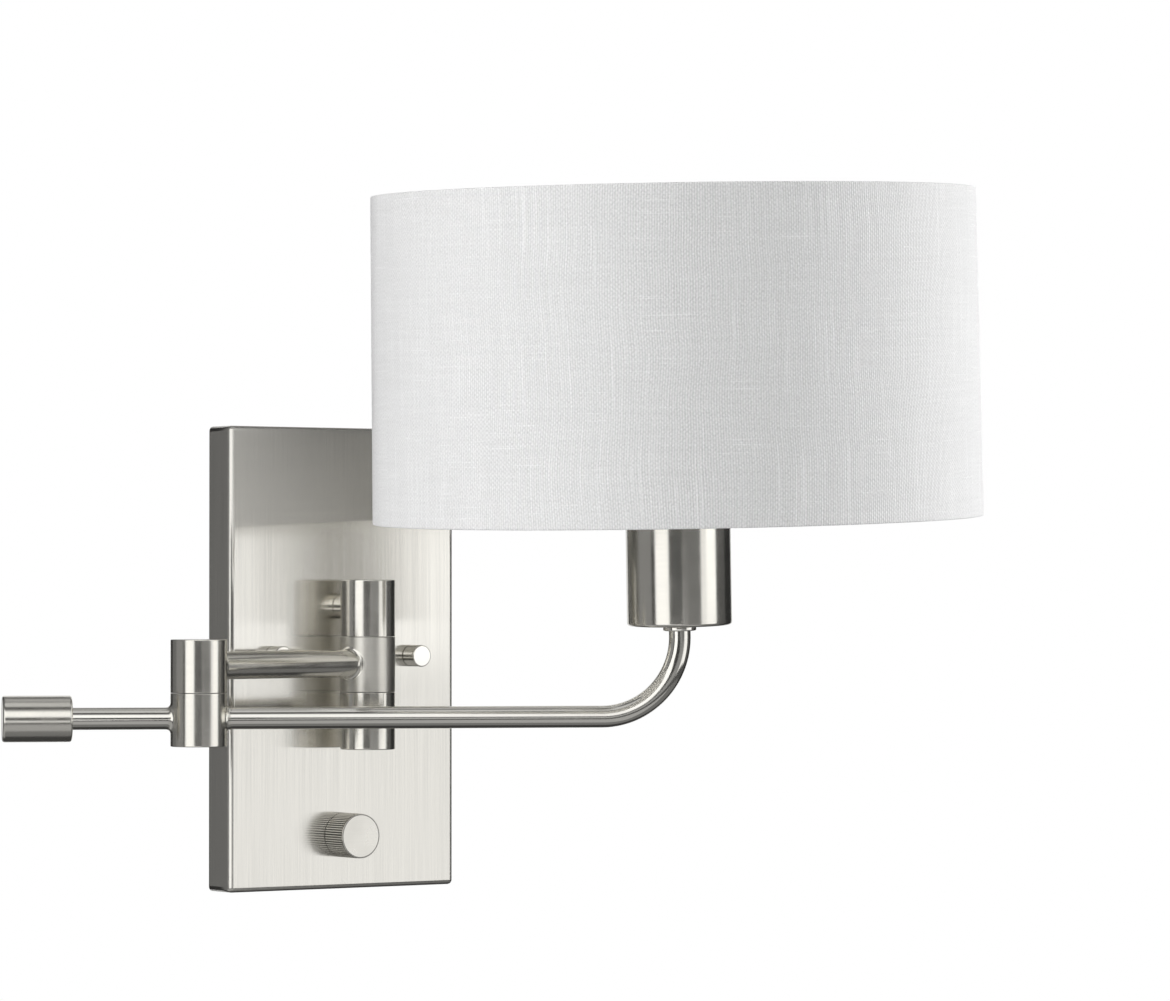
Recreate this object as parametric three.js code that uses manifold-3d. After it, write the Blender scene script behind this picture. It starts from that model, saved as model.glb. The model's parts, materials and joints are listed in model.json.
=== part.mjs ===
// Wall lamp with a two-part swing arm, a drum shade and a rotary dimmer.
// Millimetres. +X runs right along the wall, -Y out into the room, +Z up.
// The origin is the centre of the backplate on the wall.

import * as THREE from 'three';
import { mergeVertices } from 'three/addons/utils/BufferGeometryUtils.js';
import Module from 'manifold-3d';

const wasm = await Module();
wasm.setup();

// Clearances
const gap = 0.3; // between pieces that seat on each other
const jointGap = 0.4; // line between two barrels of a hinge

// Backplate
const plateWidth = 113.5;
const plateHeight = 196.85;
const plateDepth = 16.7; // wall to front face
const plateSheet = 1.4;
const plateEdge = 2; // rounding of the front edges

// Mounting bracket and its fasteners
const bracketLength = 104;
const bracketWidth = 22;
const bracketSheet = 2;
const bracketHeight = 0.7; // centre line above the plate's centre
const studSpacing = 69.85;
const studRadius = 2.1;
const studNutFlats = 8.7;
const studNutHeight = 3;
const boxSlotSpacing = 88.9;
const boxSlotRadius = 2.4;
const boxSlotLength = 8;
const groundScrewOffset = 15; // from the bracket's centre
const groundScrewRadius = 2;
const groundHeadRadius = 3.6;
const groundHeadHeight = 2.1;
const capNutRadius = 4.675;
const capNutLength = 8.2;
const capNutBore = 5.5; // depth of the threaded hole

// Hinge barrels
const barrelRadius = 11.65;
const barrelEdge = 0.4;
const barrelWall = 4.2; // floor that a hinge tube passes through
const cavityRadius = 8.7;
const washerRadius = 8.2;
const washerThickness = 1.1;
const pivotRadius = 5;
const pivotBore = 3.6;
const pivotNutFlats = 13;
const pivotNutHeight = 3;
const plugThickness = 1.5;
const tubeInset = 4; // how far an arm tube enters its barrel

// Wall hinge
const postStandoff = 35.8; // wall to hinge axis
const postTop = 33.4;
const postUpperHeight = 23.95;
const postMiddleHeight = 23.05;
const postLowerHeight = 24.05;

// Neck between plate and wall hinge
const neckRadius = 5.5;
const neckAboveMiddle = 0.7; // neck axis above the middle of the upper barrel
const nippleRadius = 4;
const nippleBore = 2.7;
const neckWasherThickness = 1;
const neckNutFlats = 12;
const neckNutHeight = 3;
const nippleTail = 2.2; // thread that shows behind its nut
const feedWireRadius = 2.2;
const feedWireTail = 3.5;

// Inner arm
const innerArmLength = 98; // hinge axis to hinge axis
const innerArmAngle = 12; // degrees out from the wall, pointing left
const armAboveMiddle = 0.5; // arm axis above the middle of its wall barrel
const innerTubeRadius = 5.8;
const innerTubeBore = 4.6;
const innerWireRadius = 2.4;

// Elbow
const elbowAbove = 10.9; // upper barrel above the inner arm's axis
const elbowBelow = 10.9;
const elbowLowerHeight = 21.8;
const rodAboveMiddle = 0.7; // rod axis above the middle of the lower barrel

// Outer arm
const outerArmReach = 200.3; // elbow axis to the foot of the lamp head
const outerArmAngle = 26.3; // degrees out from the wall, pointing right
const rodRadius = 4.575;
const rodBore = 2.9;
const rodRise = 35.7; // rod axis to the underside of the collar
const bendRadius = 32.7;
const bendSteps = 12;
const leanBack = 1.3; // degrees that the head leans towards the elbow
const leanOut = 2.2; // degrees that the head leans into the room
const spigotRadius = 4;
const rodWireRadius = 2.3;

// Handle
const gripStart = 52; // from the elbow axis
const gripLength = 28.4;
const gripRadius = 9.525;
const gripEdge = 1;
const gripBore = 20; // depth of the hole for the handle's rod

// Lamp head, measured from the underside of the collar
const collarRadius = 7;
const collarHeight = 2;
const collarEdge = 0.5;
const cupRadius = 21.9;
const cupHeight = 56.7;
const cupSheet = 1;
const cupEdge = 2;
const headNutFlats = 12;
const headNutHeight = 2.5;
const holderCapRadius = 15.5;
const holderCapHeight = 13.5;
const holderCapWall = 1.6;
const holderRadius = 17.5;
const holderFloor = 6.5;
const holderTop = 8.5; // lampholder above the rim of the cup
const holderWell = 14.8;
const shellRadius = 14.4;
const shellSheet = 0.7;
const shellInset = 3; // screw shell below the lampholder's rim
const contactRadius = 4;
const contactHeight = 1.5;
const bulbCapLength = 27;
const bulbCapSheet = 0.6;
const bulbRadius = 30;
const bulbLength = 82; // globe above its cap
const bulbNeck = 10; // straight glass above the cap
const bulbGlass = 1;

// Shade and its fitter
const shadeBottomRadius = 127;
const shadeTopRadius = 125.6;
const shadeHeight = 136;
const shadeLift = 46.25; // bottom edge above the underside of the collar
const fabricThickness = 0.7;
const linerThickness = 0.9;
const hemReturn = 9; // fabric turned in behind the liner
const ringWire = 1.4;
const fitterRadius = 24;
const fitterSheet = 1.6;
const fitterArmRadius = 1.5;
const fitterArmCount = 3;
const ringNutHeight = 4.5;
const ringNutWall = 3.2;

// Dimmer
const dimmerInset = 22.925; // dimmer's axis above the plate's bottom edge
const dimmerWidth = 28;
const dimmerHeight = 26;
const dimmerThickness = 9.2;
const bushingRadius = 4.7;
const bushingFlange = 8;
const bushingFlangeHeight = 1.2;
const bushingReach = 3.1; // in front of the plate
const dimmerNutFlats = 12.7;
const dimmerNutHeight = 2;
const shaftRadius = 3;
const shaftInset = 6; // shaft inside the dimmer's body
const knobRadius = 9.525;
const knobLength = 14; // from the plate's face
const knobStandoff = 0.6;
const knobEdge = 0.5;
const knobCap = 2.4; // solid front of the knob
const knobSkirt = 1.6; // wall around the nut
const leadRadius = 1.3;

// Facets
const barrelSides = 32;
const smallSides = 16;
const rodSides = 20;
const shadeSides = 60;
const nearlyRound = 24;
const ringSides = 6;
const curvePoints = 3;
const leadSteps = 14;

const finishes = {
  brushedNickel: { color: 0xc9c5bb, roughness: 0.38, metalness: 1 },
  satinNickel: { color: 0xbfbbb2, roughness: 0.28, metalness: 1 },
  polishedNickel: { color: 0xd2d0ca, roughness: 0.14, metalness: 1 },
  zincSteel: { color: 0xa8a9aa, roughness: 0.45, metalness: 1 },
  brass: { color: 0xc2a15a, roughness: 0.35, metalness: 1 },
  greenScrew: { color: 0x3f8f57, roughness: 0.4, metalness: 0.6 },
  nylon: { color: 0xe6e2d8, roughness: 0.6, metalness: 0 },
  blackPlastic: { color: 0x232323, roughness: 0.55, metalness: 0 },
  insulation: { color: 0x2b2b2c, roughness: 0.6, metalness: 0 },
  whiteWire: { color: 0xd9d8d2, roughness: 0.4, metalness: 0.1 },
  linen: { color: 0xf1f0ee, roughness: 0.95, metalness: 0 },
  styrene: { color: 0xf6f5f0, roughness: 0.5, metalness: 0 },
  frostedGlass: { color: 0xf4f3ee, roughness: 0.35, metalness: 0 },
};

// Heights and places that follow from the sizes above
const radians = THREE.MathUtils.degToRad;
const dimmerDrop = plateHeight / 2 - dimmerInset;
const pivotHole = pivotRadius + gap;
const postMiddleTop = postTop - postUpperHeight - jointGap;
const postLowerTop = postMiddleTop - postMiddleHeight - jointGap;
const postBottom = postLowerTop - postLowerHeight;
const neckHeight = postTop - postUpperHeight / 2 + neckAboveMiddle;
const armHeight = postMiddleTop - postMiddleHeight / 2 + armAboveMiddle;
const elbowTop = armHeight + elbowAbove;
const elbowSplit = armHeight - elbowBelow;
const elbowLowerTop = elbowSplit - jointGap;
const elbowBottom = elbowLowerTop - elbowLowerHeight;
const rodHeight = elbowBottom + elbowLowerHeight / 2 + rodAboveMiddle;
const counterbore = washerThickness + 2 * gap - jointGap;
const portRadius = rodRadius + gap;
const rodStart = cavityRadius + gap;
const cupFloor = collarHeight + gap;
const cupRim = cupFloor + cupHeight;
const headNutBase = cupFloor + cupSheet + gap;
const holderCapBase = headNutBase + headNutHeight + gap;
const holderBase = holderCapBase + holderCapHeight + gap;
const holderRim = cupRim + holderTop;
const fitterBase = cupRim + gap;
const bulbSeat = holderBase + holderFloor + gap + contactHeight + gap;
const bulbCapRadius = shellRadius - shellSheet - gap;
const shadeTopEdge = shadeLift + shadeHeight;

// Ring profile between two radii, and a disc profile that reaches the axis
function ringProfile(inner, outer, low, high) {
  return [[inner, low], [outer, low], [outer, high], [inner, high]];
}

function discProfile(outer, low, high, edge = 0) {
  if (edge === 0) return [[0, low], [outer, low], [outer, high], [0, high]];
  return [[0, low], [outer, low], [outer, high - edge], [outer - edge, high], [0, high]];
}

// Turns a profile of [radius, height] points, listed anticlockwise, about Z
function turned(profile, sides) {
  const points = profile.map(([radius, height]) => new THREE.Vector2(radius, height));
  if (profile[0][0] > 0) points.push(points[0].clone());
  const geometry = new THREE.LatheGeometry(points, sides);
  geometry.rotateX(Math.PI / 2);
  return geometry;
}

// Heights above the wall become depths into the room
function fromWall(geometry, x = 0, z = 0) {
  geometry.rotateX(Math.PI / 2);
  geometry.translate(x, 0, z);
  return geometry;
}

// Heights become distances along X
function alongX(geometry, z = 0) {
  geometry.rotateY(Math.PI / 2);
  geometry.translate(0, 0, z);
  return geometry;
}

function solidOf(geometry) {
  const bare = geometry.clone();
  bare.deleteAttribute('normal');
  bare.deleteAttribute('uv');
  const merged = mergeVertices(bare);
  const index = merged.index.array;
  const triangles = [];
  for (let i = 0; i < index.length; i += 3) {
    const [a, b, c] = [index[i], index[i + 1], index[i + 2]];
    if (a !== b && b !== c && c !== a) triangles.push(a, b, c);
  }
  return new wasm.Manifold(new wasm.Mesh({
    numProp: 3,
    vertProperties: new Float32Array(merged.attributes.position.array),
    triVerts: new Uint32Array(triangles),
  }));
}

function geometryOf(solid) {
  const mesh = solid.getMesh();
  const geometry = new THREE.BufferGeometry();
  geometry.setAttribute('position', new THREE.BufferAttribute(mesh.vertProperties, 3));
  geometry.setIndex(new THREE.BufferAttribute(mesh.triVerts, 1));
  return geometry;
}

function cut(geometry, ...tools) {
  return geometryOf(tools.reduce((solid, tool) => solid.subtract(solidOf(tool)), solidOf(geometry)));
}

function join(geometry, ...others) {
  return geometryOf(others.reduce((solid, other) => solid.add(solidOf(other)), solidOf(geometry)));
}

function box(width, depth, height, x, y, z) {
  const geometry = new THREE.BoxGeometry(width, depth, height);
  geometry.translate(x, y, z);
  return geometry;
}

// Hexagonal nut standing on a height, with a round hole
function hexNut(flats, holeRadius, base, height) {
  const outline = new THREE.Shape();
  const corner = flats / 2 / Math.cos(Math.PI / 6);
  for (let i = 0; i < 6; i += 1) {
    const angle = (i * Math.PI) / 3;
    const place = [corner * Math.cos(angle), corner * Math.sin(angle)];
    if (i === 0) outline.moveTo(...place);
    else outline.lineTo(...place);
  }
  outline.closePath();
  const hole = new THREE.Path();
  hole.absarc(0, 0, holeRadius, 0, 2 * Math.PI, true);
  outline.holes.push(hole);
  const geometry = new THREE.ExtrudeGeometry(outline, {
    depth: height,
    bevelEnabled: false,
    curveSegments: smallSides / 2,
  });
  geometry.translate(0, 0, base);
  return geometry;
}

function rectangle(width, height, middleY = 0) {
  const shape = new THREE.Shape();
  shape.moveTo(-width / 2, middleY - height / 2);
  shape.lineTo(width / 2, middleY - height / 2);
  shape.lineTo(width / 2, middleY + height / 2);
  shape.lineTo(-width / 2, middleY + height / 2);
  shape.closePath();
  return shape;
}

function roundHole(x, y, radius) {
  const hole = new THREE.Path();
  hole.absarc(x, y, radius, 0, 2 * Math.PI, true);
  return hole;
}

function slotHole(x, y, radius, length) {
  const run = length / 2 - radius;
  const hole = new THREE.Path();
  hole.absarc(x + run, y, radius, Math.PI / 2, -Math.PI / 2, true);
  hole.absarc(x - run, y, radius, -Math.PI / 2, Math.PI / 2, true);
  hole.closePath();
  return hole;
}

function piece(group, name, geometry, finish) {
  const mesh = new THREE.Mesh(geometry, new THREE.MeshStandardMaterial(finishes[finish]));
  mesh.name = name;
  group.add(mesh);
}

// Backplate: a pan with rounded front edges, open to the wall
function backplate() {
  const outline = rectangle(plateWidth - 2 * plateEdge, plateHeight - 2 * plateEdge);
  const block = new THREE.ExtrudeGeometry(outline, {
    depth: plateDepth,
    bevelThickness: plateEdge,
    bevelSize: plateEdge,
    bevelSegments: 3,
  });
  block.translate(0, 0, -plateEdge);
  const behindWall = box(2 * plateWidth, 2 * plateHeight, plateDepth, 0, 0, -plateDepth / 2);
  const inside = box(plateWidth - 2 * plateSheet, plateHeight - 2 * plateSheet, plateDepth,
    0, 0, plateDepth / 2 - plateSheet);
  const holes = [
    [0, neckHeight, nippleRadius + gap],
    [0, -dimmerDrop, bushingRadius + gap],
    [-studSpacing / 2, bracketHeight, studRadius + gap],
    [studSpacing / 2, bracketHeight, studRadius + gap],
  ].map(([x, y, radius]) => {
    const drill = turned(discProfile(radius, 0, 2 * plateDepth), nearlyRound);
    drill.translate(x, y, 0);
    return drill;
  });
  return fromWall(cut(block, behindWall, inside, ...holes));
}

// Crossbar that screws to the wall box
function mountingBracket() {
  const outline = rectangle(bracketLength, bracketWidth, bracketHeight);
  for (const side of [-1, 1]) {
    const studX = (side * studSpacing) / 2;
    const slotX = (side * boxSlotSpacing) / 2;
    outline.holes.push(roundHole(studX, bracketHeight, studRadius + gap));
    outline.holes.push(slotHole(slotX, bracketHeight, boxSlotRadius, boxSlotLength));
  }
  outline.holes.push(roundHole(groundScrewOffset, bracketHeight, groundScrewRadius + gap));
  const strap = new THREE.ExtrudeGeometry(outline, {
    depth: bracketSheet,
    bevelEnabled: false,
    curveSegments: smallSides / 2,
  });
  return fromWall(strap);
}

function stud(x) {
  const tip = plateDepth + capNutBore;
  return fromWall(turned(discProfile(studRadius, gap, tip), smallSides), x, bracketHeight);
}

function studNut(x) {
  const nut = hexNut(studNutFlats, studRadius + gap, bracketSheet + gap, studNutHeight);
  return fromWall(nut, x, bracketHeight);
}

function capNut(x) {
  const base = plateDepth + gap;
  const tip = plateDepth + capNutLength;
  const bore = studRadius + gap;
  const profile = [
    [0, base + capNutBore], [bore, base + capNutBore], [bore, base], [capNutRadius, base],
    [capNutRadius, tip - barrelEdge], [capNutRadius - barrelEdge, tip], [0, tip],
  ];
  return fromWall(turned(profile, nearlyRound), x, bracketHeight);
}

function groundScrew() {
  const seat = bracketSheet + gap;
  const profile = [
    [0, gap], [groundScrewRadius, gap], [groundScrewRadius, seat], [groundHeadRadius, seat],
    [groundHeadRadius, seat + groundHeadHeight], [0, seat + groundHeadHeight],
  ];
  return fromWall(turned(profile, smallSides), groundScrewOffset, bracketHeight);
}

// Neck
function neckSleeve() {
  const sleeve = fromWall(turned(
    ringProfile(nippleRadius + gap, neckRadius, plateDepth + gap, postStandoff), nearlyRound,
  ), 0, neckHeight);
  const post = turned(discProfile(barrelRadius + gap, postBottom, postTop), barrelSides);
  post.translate(0, -postStandoff, 0);
  return cut(sleeve, post);
}

const neckNutSeat = plateDepth - plateSheet - gap - neckWasherThickness;
const nippleBack = neckNutSeat - gap - neckNutHeight - nippleTail;

function neckNipple() {
  const end = postStandoff - pivotHole - gap;
  const profile = ringProfile(nippleBore, nippleRadius, nippleBack, end);
  return fromWall(turned(profile, nearlyRound), 0, neckHeight);
}

function neckWasher() {
  const profile = ringProfile(nippleRadius + gap, neckNutFlats / 2, neckNutSeat,
    neckNutSeat + neckWasherThickness);
  return fromWall(turned(profile, smallSides), 0, neckHeight);
}

function neckNut() {
  const nut = hexNut(neckNutFlats, nippleRadius + gap, neckNutSeat - gap - neckNutHeight, neckNutHeight);
  return fromWall(nut, 0, neckHeight);
}

function neckWires() {
  const profile = discProfile(feedWireRadius, nippleBack - feedWireTail, postStandoff - pivotHole);
  return fromWall(turned(profile, smallSides), 0, neckHeight);
}

// Barrels. Every barrel turns about its own hinge axis.
function blindBarrel(low, high, ceiling) {
  return turned([
    [0, ceiling], [pivotHole, ceiling], [pivotHole, low], [barrelRadius - barrelEdge, low],
    [barrelRadius, low + barrelEdge], [barrelRadius, high - barrelEdge],
    [barrelRadius - barrelEdge, high], [0, high],
  ], barrelSides);
}

function middleBarrel(low, high) {
  const seat = washerRadius + gap;
  return turned([
    [seat, low], [barrelRadius - barrelEdge, low], [barrelRadius, low + barrelEdge],
    [barrelRadius, high - barrelEdge], [barrelRadius - barrelEdge, high], [seat, high],
    [seat, high - counterbore], [pivotHole, high - counterbore], [pivotHole, low + counterbore],
    [seat, low + counterbore],
  ], barrelSides);
}

function capBarrel(low, high, withSeat) {
  const seat = washerRadius + gap;
  const floor = high - counterbore;
  const top = withSeat ? [[seat, high], [seat, floor], [pivotHole, floor]] : [[pivotHole, high]];
  return turned([
    [cavityRadius, low], [barrelRadius - barrelEdge, low], [barrelRadius, low + barrelEdge],
    [barrelRadius, high - barrelEdge], [barrelRadius - barrelEdge, high], ...top,
    [pivotHole, high - barrelWall], [cavityRadius, high - barrelWall],
  ], barrelSides);
}

// Hole for an arm tube, from inside a barrel out along X
function armPort(radius, height) {
  const start = pivotRadius / 2;
  return alongX(turned(discProfile(radius, start, 2 * barrelRadius), nearlyRound), height);
}

function hingeWasher(base) {
  return turned(ringProfile(pivotHole, washerRadius, base, base + washerThickness), nearlyRound);
}

function pivotNut(wallTop) {
  const base = wallTop - barrelWall - gap - pivotNutHeight;
  return hexNut(pivotNutFlats, pivotHole, base, pivotNutHeight);
}

function bottomPlug(low) {
  return turned(discProfile(cavityRadius - gap, low, low + plugThickness), nearlyRound);
}

function pivotTube(barrelTop, top) {
  const bottom = barrelTop - barrelWall - 2 * gap - pivotNutHeight;
  return turned(ringProfile(pivotBore, pivotRadius, bottom, top), nearlyRound);
}

function postUpperBarrel() {
  const ceiling = neckHeight + nippleRadius;
  const port = turned(discProfile(nippleRadius + gap, 0, 2 * barrelRadius), nearlyRound);
  port.rotateX(-Math.PI / 2);
  port.translate(0, 0, neckHeight);
  return cut(blindBarrel(postMiddleTop + jointGap, postTop, ceiling), port);
}

// The wall hinge's tube has a window that lets the wires into the inner arm
function postPivotTube() {
  const tube = pivotTube(postLowerTop, neckHeight - nippleRadius - 2 * gap);
  const window = box(2 * pivotRadius, 2 * pivotBore, 2 * innerWireRadius + 2 * gap,
    -pivotRadius, 0, armHeight);
  window.rotateZ(radians(innerArmAngle));
  return cut(tube, window);
}

function innerArmTube() {
  const start = barrelRadius - tubeInset;
  const profile = ringProfile(innerTubeBore, innerTubeRadius, start, innerArmLength - start);
  return alongX(turned(profile, nearlyRound), armHeight);
}

// Straight wires lying in the bottom of the inner arm's tube
function innerArmWires() {
  const profile = discProfile(innerWireRadius, pivotHole + gap, innerArmLength - pivotHole - gap);
  return alongX(turned(profile, smallSides), armHeight - innerTubeBore + innerWireRadius + gap);
}

// Centre line of the outer arm: a straight run, a round bend and a short riser.
// Each step of the line ends on one of those, so the straights stay plain.
const headAxis = new THREE.Vector3(
  -Math.tan(radians(leanBack)), -Math.tan(radians(leanOut)), 1,
).normalize();
const headFoot = new THREE.Vector3(
  outerArmReach, -rodRise * Math.tan(radians(leanOut)), rodHeight + rodRise,
);

class ArmLine extends THREE.Curve {
  constructor(start, end) {
    super();
    const run = new THREE.Vector3(1, 0, 0);
    this.steps = bendSteps + 2;
    this.start = start;
    this.end = end;
    this.sweep = run.angleTo(headAxis);
    this.rise = headAxis.clone().addScaledVector(run, -headAxis.dot(run)).normalize();
    this.run = run;
    this.corner = bendRadius * Math.tan(this.sweep / 2);
    this.meet = headFoot.clone().addScaledVector(headAxis, (rodHeight - headFoot.z) / headAxis.z);
  }

  turn(angle) {
    const centre = this.meet.clone().addScaledVector(this.run, -this.corner)
      .addScaledVector(this.rise, bendRadius);
    return centre.addScaledVector(this.run, bendRadius * Math.sin(angle))
      .addScaledVector(this.rise, -bendRadius * Math.cos(angle));
  }

  getPoint(t) {
    const step = t * this.steps;
    const first = new THREE.Vector3(this.start, 0, rodHeight);
    if (step <= 1) return first.lerp(this.turn(0), step);
    if (step <= 1 + bendSteps) return this.turn((this.sweep * (step - 1)) / bendSteps);
    const last = headFoot.clone().addScaledVector(headAxis, this.end);
    return this.turn(this.sweep).lerp(last, step - 1 - bendSteps);
  }

  getTangent(t) {
    const step = THREE.MathUtils.clamp(t * this.steps - 1, 0, bendSteps);
    const angle = (this.sweep * step) / bendSteps;
    return this.run.clone().multiplyScalar(Math.cos(angle)).addScaledVector(this.rise, Math.sin(angle));
  }

  getUtoTmapping(u) {
    return u;
  }
}

function alongArm(radius, start, end, sides) {
  const line = new ArmLine(start, end);
  const section = new THREE.Shape();
  section.absarc(0, 0, radius, 0, 2 * Math.PI);
  return new THREE.ExtrudeGeometry(section, {
    steps: line.steps,
    extrudePath: line,
    curveSegments: sides / 2,
  });
}

const spigotTop = holderCapBase + holderCapWall + 2 * gap;

function outerRod() {
  const tube = alongArm(rodRadius, rodStart, -gap, rodSides);
  const spigot = turned(discProfile(spigotRadius, -2 * rodRadius, spigotTop), rodSides);
  placeOnHead(spigot);
  const bore = alongArm(rodBore, rodStart - rodRadius, spigotTop + rodRadius, smallSides);
  return cut(join(tube, spigot), bore);
}

function outerArmWires() {
  return alongArm(rodWireRadius, pivotHole + gap, spigotTop + rodRadius, smallSides / 2);
}

function placeOnHead(geometry) {
  const up = new THREE.Vector3(0, 0, 1);
  geometry.applyQuaternion(new THREE.Quaternion().setFromUnitVectors(up, headAxis));
  geometry.translate(headFoot.x, headFoot.y, headFoot.z);
  return geometry;
}

function elbowLowerBarrel() {
  const handlePort = armPort(portRadius, rodHeight);
  handlePort.rotateZ(Math.PI);
  return cut(capBarrel(elbowBottom, elbowLowerTop, true), armPort(portRadius, rodHeight), handlePort);
}

function handleRod() {
  const profile = discProfile(rodRadius, rodStart, gripStart + gripBore - gap);
  const rod = alongX(turned(profile, rodSides), rodHeight);
  rod.rotateZ(Math.PI);
  return rod;
}

function handleGrip() {
  const hole = rodRadius + gap;
  const floor = gripStart + gripBore;
  const end = gripStart + gripLength;
  const profile = [
    [0, floor], [hole, floor], [hole, gripStart], [gripRadius - gripEdge, gripStart],
    [gripRadius, gripStart + gripEdge], [gripRadius, end - gripEdge], [gripRadius - gripEdge, end],
    [0, end],
  ];
  const grip = alongX(turned(profile, barrelSides), rodHeight);
  grip.rotateZ(Math.PI);
  return grip;
}

// Lamp head, built upright on the collar's underside
const spigotHole = spigotRadius + gap;

function socketCollar() {
  return turned([
    [spigotHole, 0], [collarRadius - collarEdge, 0], [collarRadius, collarEdge],
    [collarRadius, collarHeight - collarEdge], [collarRadius - collarEdge, collarHeight],
    [spigotHole, collarHeight],
  ], nearlyRound);
}

function socketCup() {
  const corner = new THREE.Path();
  corner.absarc(cupRadius - cupEdge, cupFloor + cupEdge, cupEdge, -Math.PI / 2, 0);
  const rounded = corner.getPoints(2).map((point) => [point.x, point.y]);
  return turned([
    [spigotHole, cupFloor], ...rounded, [cupRadius, cupRim], [cupRadius - cupSheet, cupRim],
    [cupRadius - cupSheet, cupFloor + cupEdge], [cupRadius - cupEdge, cupFloor + cupSheet],
    [spigotHole, cupFloor + cupSheet],
  ], barrelSides);
}

function lampholderCap() {
  const wall = holderCapRadius - holderCapWall;
  const top = holderCapBase + holderCapHeight;
  return turned([
    [spigotHole, holderCapBase], [holderCapRadius, holderCapBase], [holderCapRadius, top],
    [wall, top], [wall, holderCapBase + holderCapWall], [spigotHole, holderCapBase + holderCapWall],
  ], nearlyRound);
}

function lampholderBody() {
  const floor = holderBase + holderFloor;
  return turned([
    [0, holderBase], [holderRadius, holderBase], [holderRadius, holderRim],
    [holderWell, holderRim], [holderWell, floor], [0, floor],
  ], nearlyRound);
}

function screwShell() {
  const low = holderBase + holderFloor + gap;
  const high = holderRim - shellInset;
  return turned(ringProfile(shellRadius - shellSheet, shellRadius, low, high), nearlyRound);
}

function centreContact() {
  const low = holderBase + holderFloor + gap;
  return turned(discProfile(contactRadius, low, low + contactHeight), smallSides);
}

function bulbCap() {
  const shoulder = bulbSeat + contactRadius;
  const top = bulbSeat + bulbCapLength;
  const inner = bulbCapRadius - bulbCapSheet;
  return turned([
    [0, bulbSeat], [contactRadius, bulbSeat], [bulbCapRadius, shoulder], [bulbCapRadius, top],
    [inner, top], [inner, shoulder + bulbCapSheet], [contactRadius, bulbSeat + 2 * bulbCapSheet],
    [0, bulbSeat + 2 * bulbCapSheet],
  ], nearlyRound);
}

// Pear-shaped glass: the neck stands in the cap, the top is part of a sphere
function bulbOutline(inset) {
  const rim = bulbSeat + bulbCapLength;
  const neck = bulbCapRadius - bulbCapSheet - gap - inset;
  const ball = bulbRadius - inset;
  const centre = rim + bulbLength - bulbRadius;
  const low = -Math.PI / 6;
  const path = new THREE.Path();
  path.moveTo(neck, rim - contactRadius);
  path.lineTo(neck, rim + bulbNeck);
  path.bezierCurveTo(neck, rim + bulbLength / 5, ball * Math.cos(low) - ball / 5,
    centre + ball * Math.sin(low) - ball / 3, ball * Math.cos(low), centre + ball * Math.sin(low));
  path.absarc(0, centre, ball, low, Math.PI / 2);
  const points = path.getPoints(curvePoints).map((point) => [point.x, point.y]);
  points[points.length - 1][0] = 0;
  return points;
}

function bulbGlobe() {
  const profile = [...bulbOutline(bulbGlass).reverse(), ...bulbOutline(0)];
  return turned(profile, nearlyRound);
}

// Shade
const wallSlope = (shadeBottomRadius - shadeTopRadius) / shadeHeight;

function shadeRadius(height, inset) {
  return shadeBottomRadius - (height - shadeLift) * wallSlope - inset;
}

// A wall that follows the shade's taper, between two heights
function shadeWall(inset, thickness, low, high) {
  return [
    [shadeRadius(low, inset + thickness), low], [shadeRadius(low, inset), low],
    [shadeRadius(high, inset), high], [shadeRadius(high, inset + thickness), high],
  ];
}

const linerInset = fabricThickness + gap;
const returnInset = linerInset + linerThickness + gap;

function shadeLiner() {
  const edge = fabricThickness + gap;
  return turned(shadeWall(linerInset, linerThickness, shadeLift + edge, shadeTopEdge - edge), shadeSides);
}

// Linen wrapped over the liner's top and bottom edges and turned in behind it
function shadeFabric() {
  const [innerLow, outerLow, outerHigh, innerHigh] =
    shadeWall(0, returnInset + fabricThickness, shadeLift, shadeTopEdge);
  const lowLip = shadeLift + fabricThickness;
  const highLip = shadeTopEdge - fabricThickness;
  const lowReturn = shadeLift + hemReturn;
  const highReturn = shadeTopEdge - hemReturn;
  return turned([
    innerLow, outerLow, outerHigh, innerHigh,
    [shadeRadius(highReturn, returnInset + fabricThickness), highReturn],
    [shadeRadius(highReturn, returnInset), highReturn],
    [shadeRadius(highLip, returnInset), highLip],
    [shadeRadius(highLip, fabricThickness), highLip],
    [shadeRadius(lowLip, fabricThickness), lowLip],
    [shadeRadius(lowLip, returnInset), lowLip],
    [shadeRadius(lowReturn, returnInset), lowReturn],
    [shadeRadius(lowReturn, returnInset + fabricThickness), lowReturn],
  ], shadeSides);
}

const ringInset = returnInset + fabricThickness + gap + ringWire;
const ringEdge = fabricThickness + gap + ringWire; // ring centre from the shade's edge

function shadeRing(height) {
  const ring = new THREE.TorusGeometry(shadeRadius(height, ringInset), ringWire, ringSides, shadeSides);
  ring.translate(0, 0, height);
  return ring;
}

function shadeFitter() {
  const profile = ringProfile(holderRadius + 2 * gap, fitterRadius, fitterBase, fitterBase + fitterSheet);
  return turned(profile, barrelSides);
}

function fitterArm(turn) {
  const ringHeight = shadeLift + ringEdge;
  const from = new THREE.Vector3(fitterRadius + gap, 0, fitterBase + fitterSheet / 2);
  const to = new THREE.Vector3(shadeRadius(ringHeight, ringInset + ringWire + gap), 0, ringHeight);
  const line = to.clone().sub(from);
  const arm = new THREE.CylinderGeometry(fitterArmRadius, fitterArmRadius, line.length(), smallSides / 2);
  arm.applyQuaternion(new THREE.Quaternion().setFromUnitVectors(
    new THREE.Vector3(0, 1, 0), line.clone().normalize(),
  ));
  arm.translate(...from.add(to).multiplyScalar(1 / 2).toArray());
  arm.rotateZ(turn);
  return arm;
}

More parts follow.
